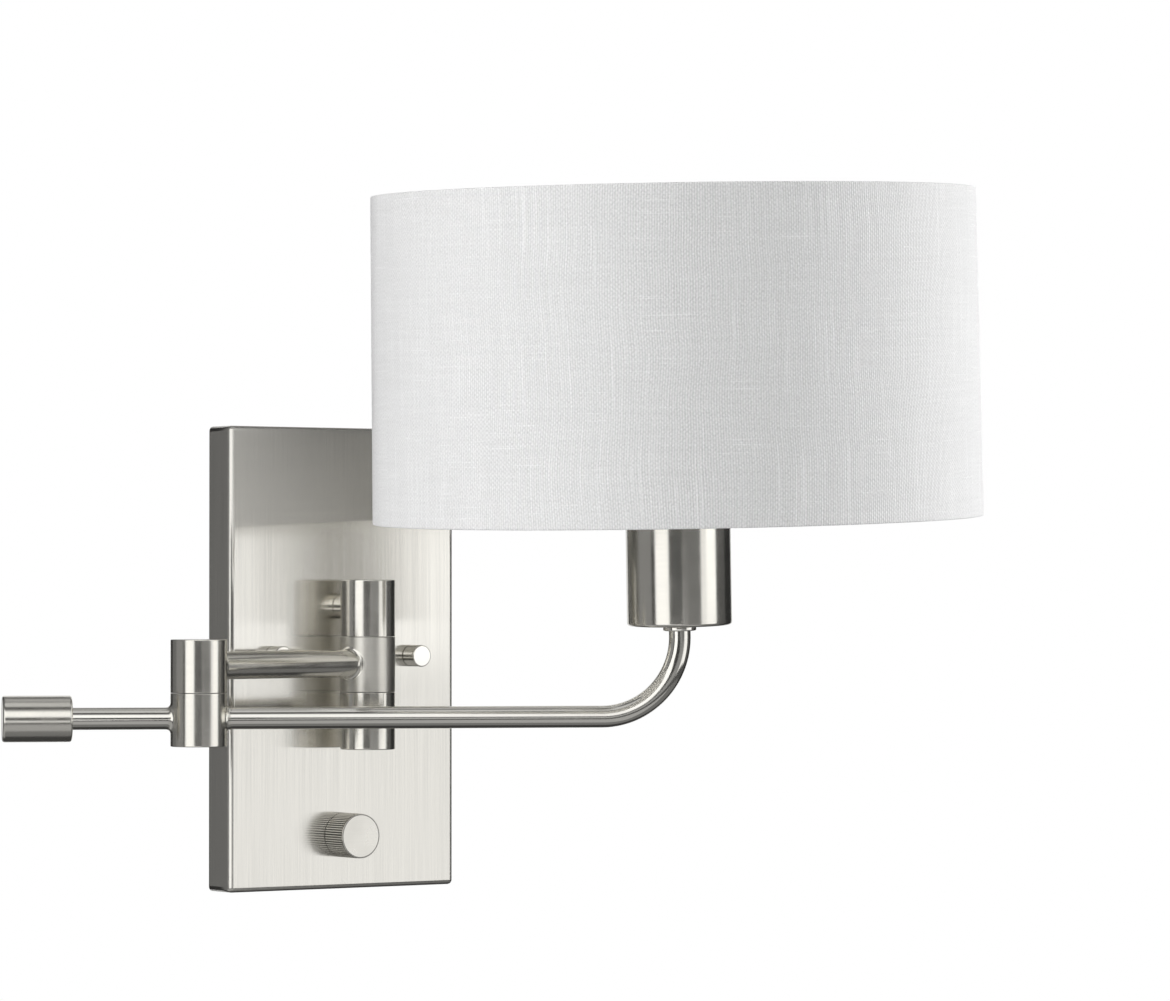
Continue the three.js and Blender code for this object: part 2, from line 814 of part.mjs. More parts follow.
function ringNut() {
  const base = fitterBase + fitterSheet + gap;
  const inner = holderRadius + 2 * gap;
  return turned(ringProfile(inner, inner + ringNutWall, base, base + ringNutHeight), barrelSides);
}

// Dimmer, built out from the wall
const bushingBase = plateDepth - plateSheet - gap - bushingFlangeHeight;
const dimmerFront = bushingBase - gap;
const dimmerBack = dimmerFront - dimmerThickness;
const shaftHole = shaftRadius + gap;

function dimmerBody() {
  const body = box(dimmerWidth, dimmerHeight, dimmerThickness, 0, 0, dimmerBack + dimmerThickness / 2);
  const hole = turned(discProfile(shaftHole, dimmerFront - shaftInset - gap, plateDepth), nearlyRound);
  return fromWall(cut(body, hole), 0, -dimmerDrop);
}

function dimmerBushing() {
  const base = bushingBase;
  const profile = [
    [shaftHole, base], [bushingFlange, base], [bushingFlange, base + bushingFlangeHeight],
    [bushingRadius, base + bushingFlangeHeight], [bushingRadius, plateDepth + bushingReach],
    [shaftHole, plateDepth + bushingReach],
  ];
  return fromWall(turned(profile, nearlyRound), 0, -dimmerDrop);
}

function dimmerNut() {
  const nut = hexNut(dimmerNutFlats, bushingRadius + gap, plateDepth + gap, dimmerNutHeight);
  return fromWall(nut, 0, -dimmerDrop);
}

const knobTip = plateDepth + knobLength;

function dimmerShaft() {
  const profile = discProfile(shaftRadius, dimmerFront - shaftInset, knobTip - knobCap - gap);
  return fromWall(turned(profile, smallSides), 0, -dimmerDrop);
}

function dimmerKnob() {
  const base = plateDepth + knobStandoff;
  const skirtEnd = plateDepth + bushingReach + gap;
  const skirt = knobRadius - knobSkirt;
  const boreEnd = knobTip - knobCap;
  return fromWall(turned([
    [0, boreEnd], [shaftHole, boreEnd], [shaftHole, skirtEnd], [skirt, skirtEnd], [skirt, base],
    [knobRadius, base], [knobRadius, knobTip - knobEdge], [knobRadius - knobEdge, knobTip],
    [0, knobTip],
  ], barrelSides), 0, -dimmerDrop);
}

// Lead from the dimmer up to the wires that enter the neck
function dimmerLead() {
  const depth = nippleBack - leadRadius - gap;
  const bottom = dimmerHeight / 2 - dimmerDrop + gap;
  const top = neckHeight - feedWireRadius - gap;
  const side = dimmerWidth / 4;
  const line = new THREE.CatmullRomCurve3([
    new THREE.Vector3(side, -depth, bottom),
    new THREE.Vector3(side, -depth, bottom + dimmerHeight / 2),
    new THREE.Vector3(side / 2, -depth, (bottom + top) / 2),
    new THREE.Vector3(0, -depth, top - dimmerHeight / 2),
    new THREE.Vector3(0, -depth, top),
  ]);
  const section = new THREE.Shape();
  section.absarc(0, 0, leadRadius, 0, 2 * Math.PI);
  return new THREE.ExtrudeGeometry(section, {
    steps: leadSteps,
    extrudePath: line,
    curveSegments: smallSides / 4,
  });
}

// Assembly
const lamp = new THREE.Group();

const wallSide = new THREE.Group();
lamp.add(wallSide);
piece(wallSide, 'backplate', backplate(), 'brushedNickel');
piece(wallSide, 'mounting_bracket', mountingBracket(), 'zincSteel');
piece(wallSide, 'ground_screw', groundScrew(), 'greenScrew');
for (const [side, name] of [[-1, 'left'], [1, 'right']]) {
  const x = (side * studSpacing) / 2;
  piece(wallSide, `stud_${name}`, stud(x), 'zincSteel');
  piece(wallSide, `stud_nut_${name}`, studNut(x), 'zincSteel');
  piece(wallSide, `cap_nut_${name}`, capNut(x), 'polishedNickel');
}
piece(wallSide, 'neck_sleeve', neckSleeve(), 'satinNickel');
piece(wallSide, 'neck_nipple', neckNipple(), 'zincSteel');
piece(wallSide, 'neck_washer', neckWasher(), 'zincSteel');
piece(wallSide, 'neck_lock_nut', neckNut(), 'zincSteel');
piece(wallSide, 'neck_wires', neckWires(), 'insulation');
piece(wallSide, 'dimmer_body', dimmerBody(), 'blackPlastic');
piece(wallSide, 'dimmer_bushing', dimmerBushing(), 'brass');
piece(wallSide, 'dimmer_nut', dimmerNut(), 'zincSteel');
piece(wallSide, 'dimmer_lead', dimmerLead(), 'insulation');
piece(wallSide, 'dimmer_shaft', dimmerShaft(), 'brass');
piece(wallSide, 'dimmer_knob', dimmerKnob(), 'satinNickel');

const wallHinge = new THREE.Group();
wallHinge.position.y = -postStandoff;
lamp.add(wallHinge);
piece(wallHinge, 'post_upper_barrel', postUpperBarrel(), 'satinNickel');
piece(wallHinge, 'post_lower_barrel', capBarrel(postBottom, postLowerTop, false), 'satinNickel');
piece(wallHinge, 'post_pivot_tube', postPivotTube(), 'zincSteel');
piece(wallHinge, 'post_pivot_nut', pivotNut(postLowerTop), 'zincSteel');
piece(wallHinge, 'post_bottom_plug', bottomPlug(postBottom), 'satinNickel');

// The inner arm's group points along the arm, from the wall hinge to the elbow
const innerArm = new THREE.Group();
innerArm.rotation.z = Math.PI + radians(innerArmAngle);
wallHinge.add(innerArm);
const postMiddleLow = postMiddleTop - postMiddleHeight;
const innerPort = armPort(innerTubeRadius + gap, armHeight);
const elbowPort = innerPort.clone();
elbowPort.rotateZ(Math.PI);
const wallBarrel = cut(middleBarrel(postMiddleLow, postMiddleTop), innerPort);
piece(innerArm, 'inner_arm_wall_barrel', wallBarrel, 'satinNickel');
piece(innerArm, 'wall_hinge_upper_washer', hingeWasher(postMiddleTop - counterbore + gap), 'nylon');
piece(innerArm, 'wall_hinge_lower_washer', hingeWasher(postMiddleLow - jointGap + gap), 'nylon');
piece(innerArm, 'inner_arm_tube', innerArmTube(), 'satinNickel');
piece(innerArm, 'inner_arm_wires', innerArmWires(), 'insulation');

const elbow = new THREE.Group();
elbow.position.x = innerArmLength;
innerArm.add(elbow);
const elbowCeiling = armHeight + innerTubeBore;
const elbowTubeTop = armHeight - innerTubeRadius - 2 * gap;
const elbowBarrel = cut(blindBarrel(elbowSplit, elbowTop, elbowCeiling), elbowPort);
piece(elbow, 'inner_arm_elbow_barrel', elbowBarrel, 'satinNickel');
piece(elbow, 'elbow_pivot_tube', pivotTube(elbowLowerTop, elbowTubeTop), 'zincSteel');
piece(elbow, 'elbow_pivot_nut', pivotNut(elbowLowerTop), 'zincSteel');

// The outer arm's group points along its rod, from the elbow to the lamp head
const outerArm = new THREE.Group();
outerArm.rotation.z = -radians(outerArmAngle) - innerArm.rotation.z;
elbow.add(outerArm);
piece(outerArm, 'elbow_lower_barrel', elbowLowerBarrel(), 'satinNickel');
piece(outerArm, 'elbow_washer', hingeWasher(elbowLowerTop - counterbore + gap), 'nylon');
piece(outerArm, 'elbow_bottom_plug', bottomPlug(elbowBottom), 'satinNickel');
piece(outerArm, 'outer_rod', outerRod(), 'polishedNickel');
piece(outerArm, 'outer_arm_wires', outerArmWires(), 'insulation');
piece(outerArm, 'handle_rod', handleRod(), 'polishedNickel');
piece(outerArm, 'handle_grip', handleGrip(), 'satinNickel');

const head = new THREE.Group();
head.position.copy(headFoot);
head.quaternion.setFromUnitVectors(new THREE.Vector3(0, 0, 1), headAxis);
outerArm.add(head);
piece(head, 'socket_collar', socketCollar(), 'polishedNickel');
piece(head, 'socket_cup', socketCup(), 'satinNickel');
piece(head, 'socket_lock_nut', hexNut(headNutFlats, spigotHole, headNutBase, headNutHeight), 'zincSteel');
piece(head, 'lampholder_cap', lampholderCap(), 'blackPlastic');
piece(head, 'lampholder_body', lampholderBody(), 'blackPlastic');
piece(head, 'lampholder_screw_shell', screwShell(), 'brass');
piece(head, 'lampholder_contact', centreContact(), 'brass');
piece(head, 'bulb_cap', bulbCap(), 'zincSteel');
piece(head, 'bulb_globe', bulbGlobe(), 'frostedGlass');
piece(head, 'shade_fitter', shadeFitter(), 'whiteWire');
for (let i = 0; i < fitterArmCount; i += 1) {
  piece(head, `fitter_arm_${i + 1}`, fitterArm((2 * Math.PI * i) / fitterArmCount), 'whiteWire');
}
piece(head, 'shade_ring_nut', ringNut(), 'blackPlastic');
piece(head, 'shade_bottom_ring', shadeRing(shadeLift + ringEdge), 'whiteWire');
piece(head, 'shade_top_ring', shadeRing(shadeTopEdge - ringEdge), 'whiteWire');
piece(head, 'shade_liner', shadeLiner(), 'styrene');
piece(head, 'shade_fabric', shadeFabric(), 'linen');

export default lamp;
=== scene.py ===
import json
from math import atan2, cos, pi, radians, sin, sqrt, tan

import bmesh
import bpy
from mathutils import Matrix, Vector


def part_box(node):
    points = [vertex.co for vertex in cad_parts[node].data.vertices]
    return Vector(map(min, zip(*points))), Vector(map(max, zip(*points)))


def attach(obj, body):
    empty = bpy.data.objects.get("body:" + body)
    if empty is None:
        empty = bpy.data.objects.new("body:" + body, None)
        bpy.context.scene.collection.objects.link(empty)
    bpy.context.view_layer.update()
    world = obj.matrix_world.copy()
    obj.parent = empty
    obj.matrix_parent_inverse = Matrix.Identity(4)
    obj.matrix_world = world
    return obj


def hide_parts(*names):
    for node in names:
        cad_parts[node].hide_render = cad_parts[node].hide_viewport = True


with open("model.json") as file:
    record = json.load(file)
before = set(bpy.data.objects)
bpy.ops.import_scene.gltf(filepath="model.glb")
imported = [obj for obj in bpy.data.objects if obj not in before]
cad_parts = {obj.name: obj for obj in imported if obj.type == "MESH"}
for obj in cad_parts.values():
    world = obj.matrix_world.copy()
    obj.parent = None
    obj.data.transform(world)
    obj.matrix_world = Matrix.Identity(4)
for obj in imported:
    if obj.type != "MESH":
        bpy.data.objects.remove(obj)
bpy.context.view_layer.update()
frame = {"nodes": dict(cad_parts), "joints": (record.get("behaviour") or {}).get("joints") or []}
print("frame loaded", len(frame["nodes"]), "nodes")

mm = 0.001


def newObject(name, data):
    thing = bpy.data.objects.new(name, data)
    bpy.context.scene.collection.objects.link(thing)
    return thing


# camera

cameraSetup = {
    "turn": 35.389,  # degrees round from straight on, to the left
    "pitch": 0.888,
    "lens": 161.62,
    "distance": 2.24126,
    "aim": (0.08173, -0.08, 0.06724),
}


def makeCamera(setup):
    turn, pitch = radians(setup["turn"]), radians(setup["pitch"])
    look = Vector((sin(turn) * cos(pitch), cos(turn) * cos(pitch), sin(pitch)))
    data = bpy.data.cameras.new("camera")
    data.lens = setup["lens"]
    data.sensor_width = 36
    data.clip_end = 50
    camera = newObject("camera", data)
    camera.location = Vector(setup["aim"]) - look * setup["distance"]
    camera.rotation_euler = look.to_track_quat("-Z", "Y").to_euler()
    bpy.context.scene.camera = camera


makeCamera(cameraSetup)
bpy.context.scene.view_settings.view_transform = "Standard"
print("camera set")


# node helpers, for materials, the world and geometry trees

def addNode(tree, kind, inputs=None, **settings):
    node = tree.nodes.new(kind)
    for key, value in settings.items():
        setattr(node, key, value)
    feed(tree, node, inputs or {})
    return node


def feed(tree, node, inputs):
    # inputs holds plain values, or the sockets that give them
    for key, value in inputs.items():
        if isinstance(value, bpy.types.NodeSocket):
            tree.links.new(value, node.inputs[key])
        else:
            node.inputs[key].default_value = value


def newMaterial(name, kind="ShaderNodeBsdfPrincipled"):
    material = bpy.data.materials.new(name)
    material.use_nodes = True
    tree = material.node_tree
    tree.nodes.clear()
    shader = addNode(tree, kind)
    addNode(tree, "ShaderNodeOutputMaterial", {"Surface": shader.outputs[0]})
    return material, tree, shader


def nodeOf(tree, kind):
    return next(n for n in tree.nodes if n.type == kind)


def mathNode(tree, operation, *values):
    return addNode(tree, "ShaderNodeMath", dict(enumerate(values)), operation=operation).outputs[0]


def vectorNode(tree, **parts):
    return addNode(tree, "ShaderNodeCombineXYZ", parts).outputs[0]


def ramp(tree, source, stops):
    node = addNode(tree, "ShaderNodeValToRGB", {"Fac": source})
    elements = node.color_ramp.elements
    while len(elements) < len(stops):
        elements.new(0.5)
    for element, (place, value) in zip(elements, stops):
        element.position = place
        element.color = (value, value, value, 1)
    return node.outputs["Color"]


def spread(tree, source, low, high):
    # a noise rarely leaves the middle of its range
    return ramp(tree, source, [(0.3, low), (0.7, high)])


def objectPlace(tree, turn=(0, 0, 0), scale=(1, 1, 1)):
    place = addNode(tree, "ShaderNodeTexCoord").outputs["Object"]
    return addNode(tree, "ShaderNodeMapping", {"Vector": place, "Rotation": turn, "Scale": scale}).outputs[0]


def scaledDistance(tree, scale, centre=(0, 0, 0)):
    # how far a spot lies from the centre, each direction on its own scale
    spot = addNode(tree, "ShaderNodeTexCoord").outputs["Object"]
    for operation, value in (("SUBTRACT", centre), ("MULTIPLY", scale)):
        spot = addNode(tree, "ShaderNodeVectorMath", {0: spot, 1: value}, operation=operation).outputs[0]
    return addNode(tree, "ShaderNodeVectorMath", {0: spot}, operation="LENGTH").outputs["Value"]


def noiseOn(tree, place, scale=1.0, detail=3.0, roughness=0.5):
    inputs = {"Vector": place, "Scale": scale, "Detail": detail, "Roughness": roughness}
    return addNode(tree, "ShaderNodeTexNoise", inputs).outputs["Fac"]


def setTone(tree, shader, tint, shade, share=1.0):
    # tint is a colour, or the socket of one
    tint = (*tint, 1) if isinstance(tint, tuple) else tint
    mix = addNode(tree, "ShaderNodeMix", {"Factor": share, "A": tint, "B": shade},
                  data_type="RGBA", blend_type="MULTIPLY")
    feed(tree, shader, {"Base Color": mix.outputs["Result"]})


def setRelief(tree, shader, height, strength, distance):
    inputs = {"Height": height, "Strength": strength, "Distance": distance * mm}
    feed(tree, shader, {"Normal": addNode(tree, "ShaderNodeBump", inputs).outputs["Normal"]})


# nickel, turned on a lathe: fine rings run round the axis

lathe = {"along": 60.0, "fineness": 0.6, "patches": 90.0, "darkest": 0.93, "share": 0.5, "relief": 0.1}
warmTint = (0.82, 0.80, 0.74)
brightTint = (0.85, 0.832, 0.78)
onItsSide = (0, radians(90), 0)
facingOut = (radians(90), 0, 0)


def turnedNickel(name, tint, roughness, change, axisTurn=(0, 0, 0), rings=1600.0, depth=0.05):
    material, tree, shader = newMaterial(name)
    lines = objectPlace(tree, axisTurn, (lathe["along"], lathe["along"], rings))
    fine = noiseOn(tree, lines, roughness=lathe["fineness"])
    patches = noiseOn(tree, objectPlace(tree), lathe["patches"])
    setTone(tree, shader, tint, spread(tree, fine, lathe["darkest"], 1.0), lathe["share"])
    setRelief(tree, shader, fine, depth, lathe["relief"])
    rough = spread(tree, patches, roughness - change, roughness + change)
    feed(tree, shader, {"Metallic": 1.0, "Roughness": rough})
    return material


# the plate's nickel, brushed up and down

brushed = {
    "tint": (0.80, 0.782, 0.732),
    "strokes": (2600.0, 900.0, 14.0), "fineness": 0.65, "streaks": (240.0, 90.0, 5.0),
    "darkest": 0.82, "share": 0.65, "smooth": 0.148, "rough": 0.168, "depth": 0.06, "relief": 0.1,
}


def brushedPlate(name, sizes):
    material, tree, shader = newMaterial(name)
    fine = noiseOn(tree, objectPlace(tree, scale=sizes["strokes"]), 1.0, 4.0, sizes["fineness"])
    broad = noiseOn(tree, objectPlace(tree, scale=sizes["streaks"]))
    setTone(tree, shader, sizes["tint"], spread(tree, fine, sizes["darkest"], 1.0), sizes["share"])
    setRelief(tree, shader, fine, sizes["depth"], sizes["relief"])
    tangent = addNode(tree, "ShaderNodeTangent", direction_type="UV_MAP", uv_map="brushing")
    feed(tree, shader, {
        "Metallic": 1.0, "Roughness": spread(tree, broad, sizes["smooth"], sizes["rough"]),
        "Anisotropic": 1.0, "Tangent": tangent.outputs["Tangent"],
    })
    return material


# plated, moulded and enamelled finishes for the small pieces

def plainFinish(name, tint, roughness, metallic=0.0, grain=300.0, depth=0.05, contrast=0.08):
    material, tree, shader = newMaterial(name)
    noise = noiseOn(tree, objectPlace(tree), grain, 4.0)
    setTone(tree, shader, tint, spread(tree, noise, 1.0 - contrast, 1.0))
    setRelief(tree, shader, noise, depth, 0.2)
    rough = spread(tree, noise, roughness * 0.85, roughness * 1.15)
    feed(tree, shader, {"Metallic": metallic, "Roughness": rough})
    return material


# linen: two sets of threads across each other, with light slubs along some of them

linen = {
    "tint": (0.857, 0.857, 0.857),
    "warp": 1.04,  # millimetres from thread to thread, round the shade
    "weft": 0.89,  # and up it
    "weave": 0.42, "lines": 0.3, "over": 0.2,
    "slub": 0.11, "slubWidth": 0.75, "upLength": 55, "sideLength": 30,
    "upFrom": 0.59, "sideFrom": 0.635, "slubEdge": 0.11,
    "uneven": 0.9, "groups": 0.16, "groupSize": 60,
    "checks": 0.08, "checkWidth": 2.2, "upCheck": 60, "sideCheck": 48,
    "wander": 2.8, "wanderLong": 90, "wanderShort": 45,
    "relief": 0.3, "depth": 0.75, "slubRelief": 0.15,
}


def linenMaterial(name, sizes):
    material, tree, shader = newMaterial(name)  # its map is in millimetres
    flat = addNode(tree, "ShaderNodeUVMap").outputs["UV"]

    def calc(operation, *values):
        return mathNode(tree, operation, *values)

    def noiseAlong(source, wide, high, start, detail=2.0):
        inputs = {"Vector": source, "Scale": (1 / wide, 1 / high, 1.0), "Location": (*start, 0)}
        return noiseOn(tree, addNode(tree, "ShaderNodeMapping", inputs).outputs["Vector"], 1.0, detail)

    # the threads wander a little
    split = addNode(tree, "ShaderNodeSeparateXYZ", {0: flat})
    sway = noiseAlong(flat, sizes["wanderLong"], sizes["wanderShort"], (3, 7), 1.0)
    dip = noiseAlong(flat, sizes["wanderShort"], sizes["wanderLong"], (13, 1), 1.0)
    across = calc("MULTIPLY_ADD", sway, sizes["wander"] * 2, split.outputs["X"])
    along = calc("MULTIPLY_ADD", dip, sizes["wander"] * 0.7, split.outputs["Y"])
    woven = vectorNode(tree, X=across, Y=along)

    def swell(place, pitch):
        return calc("COSINE", calc("MULTIPLY", place, pi / pitch))

    # every thread passes over its neighbours in turn
    warp, weft = swell(across, sizes["warp"]), swell(along, sizes["weft"])
    lines = calc("MULTIPLY_ADD", swell(across, sizes["warp"] / 2), sizes["lines"], 0.5)
    weave = calc("MULTIPLY_ADD", calc("MULTIPLY", warp, weft), sizes["over"], lines)
    uneven = noiseAlong(woven, sizes["uneven"], sizes["uneven"], (1, 4), 3.0)
    # slubs come in groups
    longWarp = noiseAlong(woven, sizes["slubWidth"], sizes["upLength"], (5, 9))
    longWeft = noiseAlong(woven, sizes["sideLength"], sizes["slubWidth"], (8, 2))
    patches = noiseAlong(flat, sizes["groupSize"], sizes["groupSize"], (6, 1), 1.0)
    groups = calc("MULTIPLY_ADD", patches, sizes["groups"], -sizes["groups"] / 2)

    def slubsOn(place, start):
        return ramp(tree, place, [(start, 0.0), (start + sizes["slubEdge"], 1.0)])

    slubs = calc("MAXIMUM", slubsOn(calc("ADD", longWarp, groups), sizes["upFrom"]),
                 slubsOn(calc("SUBTRACT", longWeft, groups), sizes["sideFrom"]))
    checks = calc("ADD", noiseAlong(woven, sizes["checkWidth"], sizes["upCheck"], (2, 2)),
                  noiseAlong(woven, sizes["sideCheck"], sizes["checkWidth"], (4, 4)))
    tone = calc("MULTIPLY_ADD", weave, sizes["weave"] * 0.6, 1.0 - sizes["weave"] * 0.3)
    tone = calc("MULTIPLY_ADD", calc("SUBTRACT", uneven, 0.5), sizes["weave"], tone)
    tone = calc("MULTIPLY_ADD", calc("SUBTRACT", checks, 1.0), sizes["checks"], tone)
    setTone(tree, shader, sizes["tint"], calc("MULTIPLY_ADD", slubs, sizes["slub"], tone))
    height = calc("MULTIPLY_ADD", slubs, sizes["slubRelief"], weave)
    setRelief(tree, shader, height, sizes["depth"], sizes["relief"])
    feed(tree, shader, {
        "Roughness": ramp(tree, weave, [(0.0, 0.88), (1.0, 0.96)]),
        "Sheen Weight": 0.1, "Sheen Roughness": 0.5, "Specular IOR Level": 0.2,
    })
    return material


satinNickel = turnedNickel("satinNickel", warmTint, 0.19, 0.02)
softNickel = turnedNickel("softNickel", warmTint, 0.33, 0.03)
gripNickel = turnedNickel("gripNickel", warmTint, 0.20, 0.03, onItsSide, 500.0)
innerNickel = turnedNickel("innerNickel", warmTint, 0.17, 0.03, onItsSide, 300.0, 0.03)
cupNickel = turnedNickel("cupNickel", warmTint, 0.16, 0.02, depth=0.03)
rodNickel = turnedNickel("rodNickel", brightTint, 0.12, 0.02, depth=0.0)
polishedNickel = turnedNickel("polishedNickel", brightTint, 0.09, 0.02, depth=0.01)
knobNickel = turnedNickel("knobNickel", (0.77, 0.752, 0.70), 0.30, 0.03, facingOut)
plateNickel = brushedPlate("plateNickel", brushed)
zincPlate = plainFinish("zincPlate", (0.62, 0.63, 0.64), 0.38, 1.0)
plainBrass = plainFinish("plainBrass", (0.72, 0.55, 0.27), 0.3, 1.0)
greenScrew = plainFinish("greenScrew", (0.05, 0.28, 0.10), 0.35, 0.5)
greyNylon = plainFinish("greyNylon", (0.16, 0.155, 0.145), 0.5)
blackMoulding = plainFinish("blackMoulding", (0.018, 0.018, 0.018), 0.45, grain=900.0, depth=0.12)
wireJacket = plainFinish("wireJacket", (0.03, 0.03, 0.03), 0.5, grain=500.0)
whiteEnamel = plainFinish("whiteEnamel", (0.78, 0.77, 0.74), 0.3, grain=200.0, depth=0.08, contrast=0.04)
whiteLiner = plainFinish("whiteLiner", (0.88, 0.87, 0.84), 0.55, grain=60.0, depth=0.02, contrast=0.03)
frostedGlass = plainFinish("frostedGlass", (0.88, 0.875, 0.85), 0.28, grain=150.0, depth=0.01, contrast=0.02)
linenCloth = linenMaterial("linenCloth", linen)
print("finishes made")


# mesh helpers, all in millimetres until the last step

def softened(points, steps=4):
    # points are (radius, height, rounding); a rounding above 0 makes an arc at that corner
    line = []
    count = len(points)
    for i, point in enumerate(points):
        rounding = point[2] if len(point) > 2 else 0
        here = Vector(point[:2])
        if not rounding:
            line.append(here)
            continue
        before = (Vector(points[i - 1][:2]) - here).normalized()
        after = (Vector(points[(i + 1) % count][:2]) - here).normalized()
        half = before.angle(after) / 2
        reach = rounding / tan(half)
        centre = here + (before + after).normalized() * (rounding / sin(half))
        start, end = here + before * reach, here + after * reach
        first = atan2(*(start - centre).yx)
        sweep = atan2(*(end - centre).yx) - first
        sweep = (sweep + pi) % (2 * pi) - pi
        for k in range(steps + 1):
            angle = first + sweep * k / steps
            line.append(centre + Vector((cos(angle), sin(angle))) * rounding)
    return line


def supported(line, near=0.2):
    # extra rings beside the ends of long stretches keep the shading even
    closed = [*line, line[0]] if line[0].x > 1e-6 else line
    full = []
    for a, b in zip(closed, closed[1:]):
        full.append(a)
        length = (b - a).length
        if length > 6 * near:
            full.extend((a.lerp(b, near / length), b.lerp(a, near / length)))
    if len(closed) == len(line):
        full.append(line[-1])
    return full


def turnedMesh(name, profile, sides, place, material, limit=35.0):
    # profile runs anticlockwise in (radius, height); it closes on the axis or on itself
    line = supported([Vector((max(p[0], 0.0), p[1])) for p in profile])
    work = bmesh.new()
    rings = []
    for point in line:
        turns = [2 * pi * k / sides for k in range(sides if point.x > 1e-6 else 1)]
        rings.append([work.verts.new((point.x * cos(a), point.x * sin(a), point.y)) for a in turns])
    pairs = list(zip(rings, rings[1:]))
    if len(rings[0]) > 1:
        pairs.append((rings[-1], rings[0]))
    for low, high in pairs:
        for k in range(sides if len(low) + len(high) > 2 else 0):
            n = k + 1
            corners = low[k % len(low)], low[n % len(low)], high[n % len(high)], high[k % len(high)]
            work.faces.new(tuple(dict.fromkeys(corners)))  # three of them beside the axis
    bmesh.ops.recalc_face_normals(work, faces=work.faces)
    mesh = plainMesh(name, work)
    mesh.transform(place @ Matrix.Scale(mm, 4))
    finishMesh(mesh, limit)
    return addPiece(name, mesh, material)


def plainMesh(name, work):
    mesh = bpy.data.meshes.new(name)
    work.to_mesh(mesh)
    work.free()
    return mesh


def finishMesh(mesh, limit=35.0):
    mesh.shade_smooth()
    mesh.set_sharp_from_angle(angle=radians(limit))
    mesh.update()


def addPiece(name, mesh, material):
    coat(mesh, material)
    return newObject(name, mesh)


def coat(mesh, material):
    mesh.materials.clear()
    mesh.materials.append(material)


def dress(piece, body, slotName, *nodes):
    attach(piece, body)
    if nodes:
        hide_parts(*nodes)


def upright(spot):
    return Matrix.Translation((spot.x * mm, spot.y * mm, 0))


def outFromWall(x, z):
    # heights become distances out of the wall
    return Matrix.Translation((x * mm, 0, z * mm)) @ Matrix.Rotation(radians(90), 4, "X")


def alongHeading(spot, heading):
    # heights become distances along a level line that points to heading, in degrees
    turn = Matrix.Rotation(radians(heading), 4, "Z") @ Matrix.Rotation(radians(90), 4, "Y")
    return Matrix.Translation(spot * mm) @ turn


# geometry node trees

def geometryNode(tree, kind, inputs, **settings):
    return addNode(tree, "GeometryNode" + kind, inputs, **settings).outputs[0]


def newTree(name, sizes):
    tree = bpy.data.node_groups.new(name, "GeometryNodeTree")
    tree.interface.new_socket("Geometry", in_out="INPUT", socket_type="NodeSocketGeometry")
    tree.interface.new_socket("Geometry", in_out="OUTPUT", socket_type="NodeSocketGeometry")
    for key, value in sizes.items():
        kind = "NodeSocketInt" if isinstance(value, int) else "NodeSocketFloat"
        socket = tree.interface.new_socket(key, in_out="INPUT", socket_type=kind)
        socket.default_value = value
    tree.interface.new_socket("Finish", in_out="INPUT", socket_type="NodeSocketMaterial")
    return tree, addNode(tree, "NodeGroupInput").outputs


def endTree(tree, given, geometry):
    realized = geometryNode(tree, "RealizeInstances", {"Geometry": geometry})
    finished = geometryNode(tree, "SetMaterial", {"Geometry": realized, "Material": given["Finish"]})
    addNode(tree, "NodeGroupOutput", {"Geometry": finished})
    return tree


def runTree(name, source, tree, sizes, material):
    # sets the inputs, evaluates the tree once and keeps a plain mesh
    modifier = source.modifiers.new("build", "NODES")
    modifier.node_group = tree
    values = {**sizes, "Finish": material}
    for item in tree.interface.items_tree:
        if item.in_out == "INPUT" and item.name in values:
            modifier[item.identifier] = values[item.name]
    source.update_tag()
    bpy.context.view_layer.update()
    shaped = source.evaluated_get(bpy.context.evaluated_depsgraph_get())
    mesh = bpy.data.meshes.new_from_object(shaped)
    mesh.name = name
    source.modifiers.remove(modifier)
    bpy.data.objects.remove(source)
    return mesh


# a tube or wire along a line of points

def tubeTree():
    tree, given = newTree("tubeAlongLine", {"Outer Radius": 0.004, "Sides": 48})
    circle = geometryNode(tree, "CurvePrimitiveCircle", {
        "Resolution": given["Sides"], "Radius": given["Outer Radius"],
    })
    return endTree(tree, given, geometryNode(tree, "CurveToMesh", {
        "Curve": given["Geometry"], "Profile Curve": circle, "Fill Caps": True,
    }))


tubeAlongLine = tubeTree()


def tube(name, points, radius, material, sides, closed=False):
    data = bpy.data.curves.new(name + "Line", "CURVE")
    data.dimensions = "3D"
    spline = data.splines.new("POLY")
    spline.points.add(len(points) - 1)
    for target, point in zip(spline.points, points):
        target.co = (*(Vector(point) * mm), 1)
    spline.use_cyclic_u = closed
    line = newObject(name + "Line", data)
    mesh = runTree(name, line, tubeAlongLine, {"Outer Radius": radius * mm, "Sides": sides}, material)
    work = bmesh.new()
    work.from_mesh(mesh)
    bmesh.ops.remove_doubles(work, verts=work.verts, dist=1e-7)
    bmesh.ops.recalc_face_normals(work, faces=work.faces)
    work.to_mesh(mesh)
    work.free()
    finishMesh(mesh, 50.0)
    return addPiece(name, mesh, material)


# where the hinges stand, in millimetres, and which way the arms point, in degrees

wallHinge = Vector(frame["joints"][0]["pos_m"]) / mm
elbowHinge = Vector(frame["joints"][1]["pos_m"]) / mm
rodHeading = -26.3
armHeading = 192.0


def nodeSpan(name):
    low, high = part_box(name)
    return low / mm, high / mm


def nodeMiddle(name):
    low, high = nodeSpan(name)
    return (low + high) / 2


plateFace = -nodeSpan("backplate")[0].y  # how far the plate's face stands from the wall


# backplate

plate = {
    "sheet": 1.4, "edge": 2.0, "steps": 5,
    "rim": 0.4, "large": 1000,  # a narrow rim inside each face of this many square millimetres
    "brushScale": 200,
}


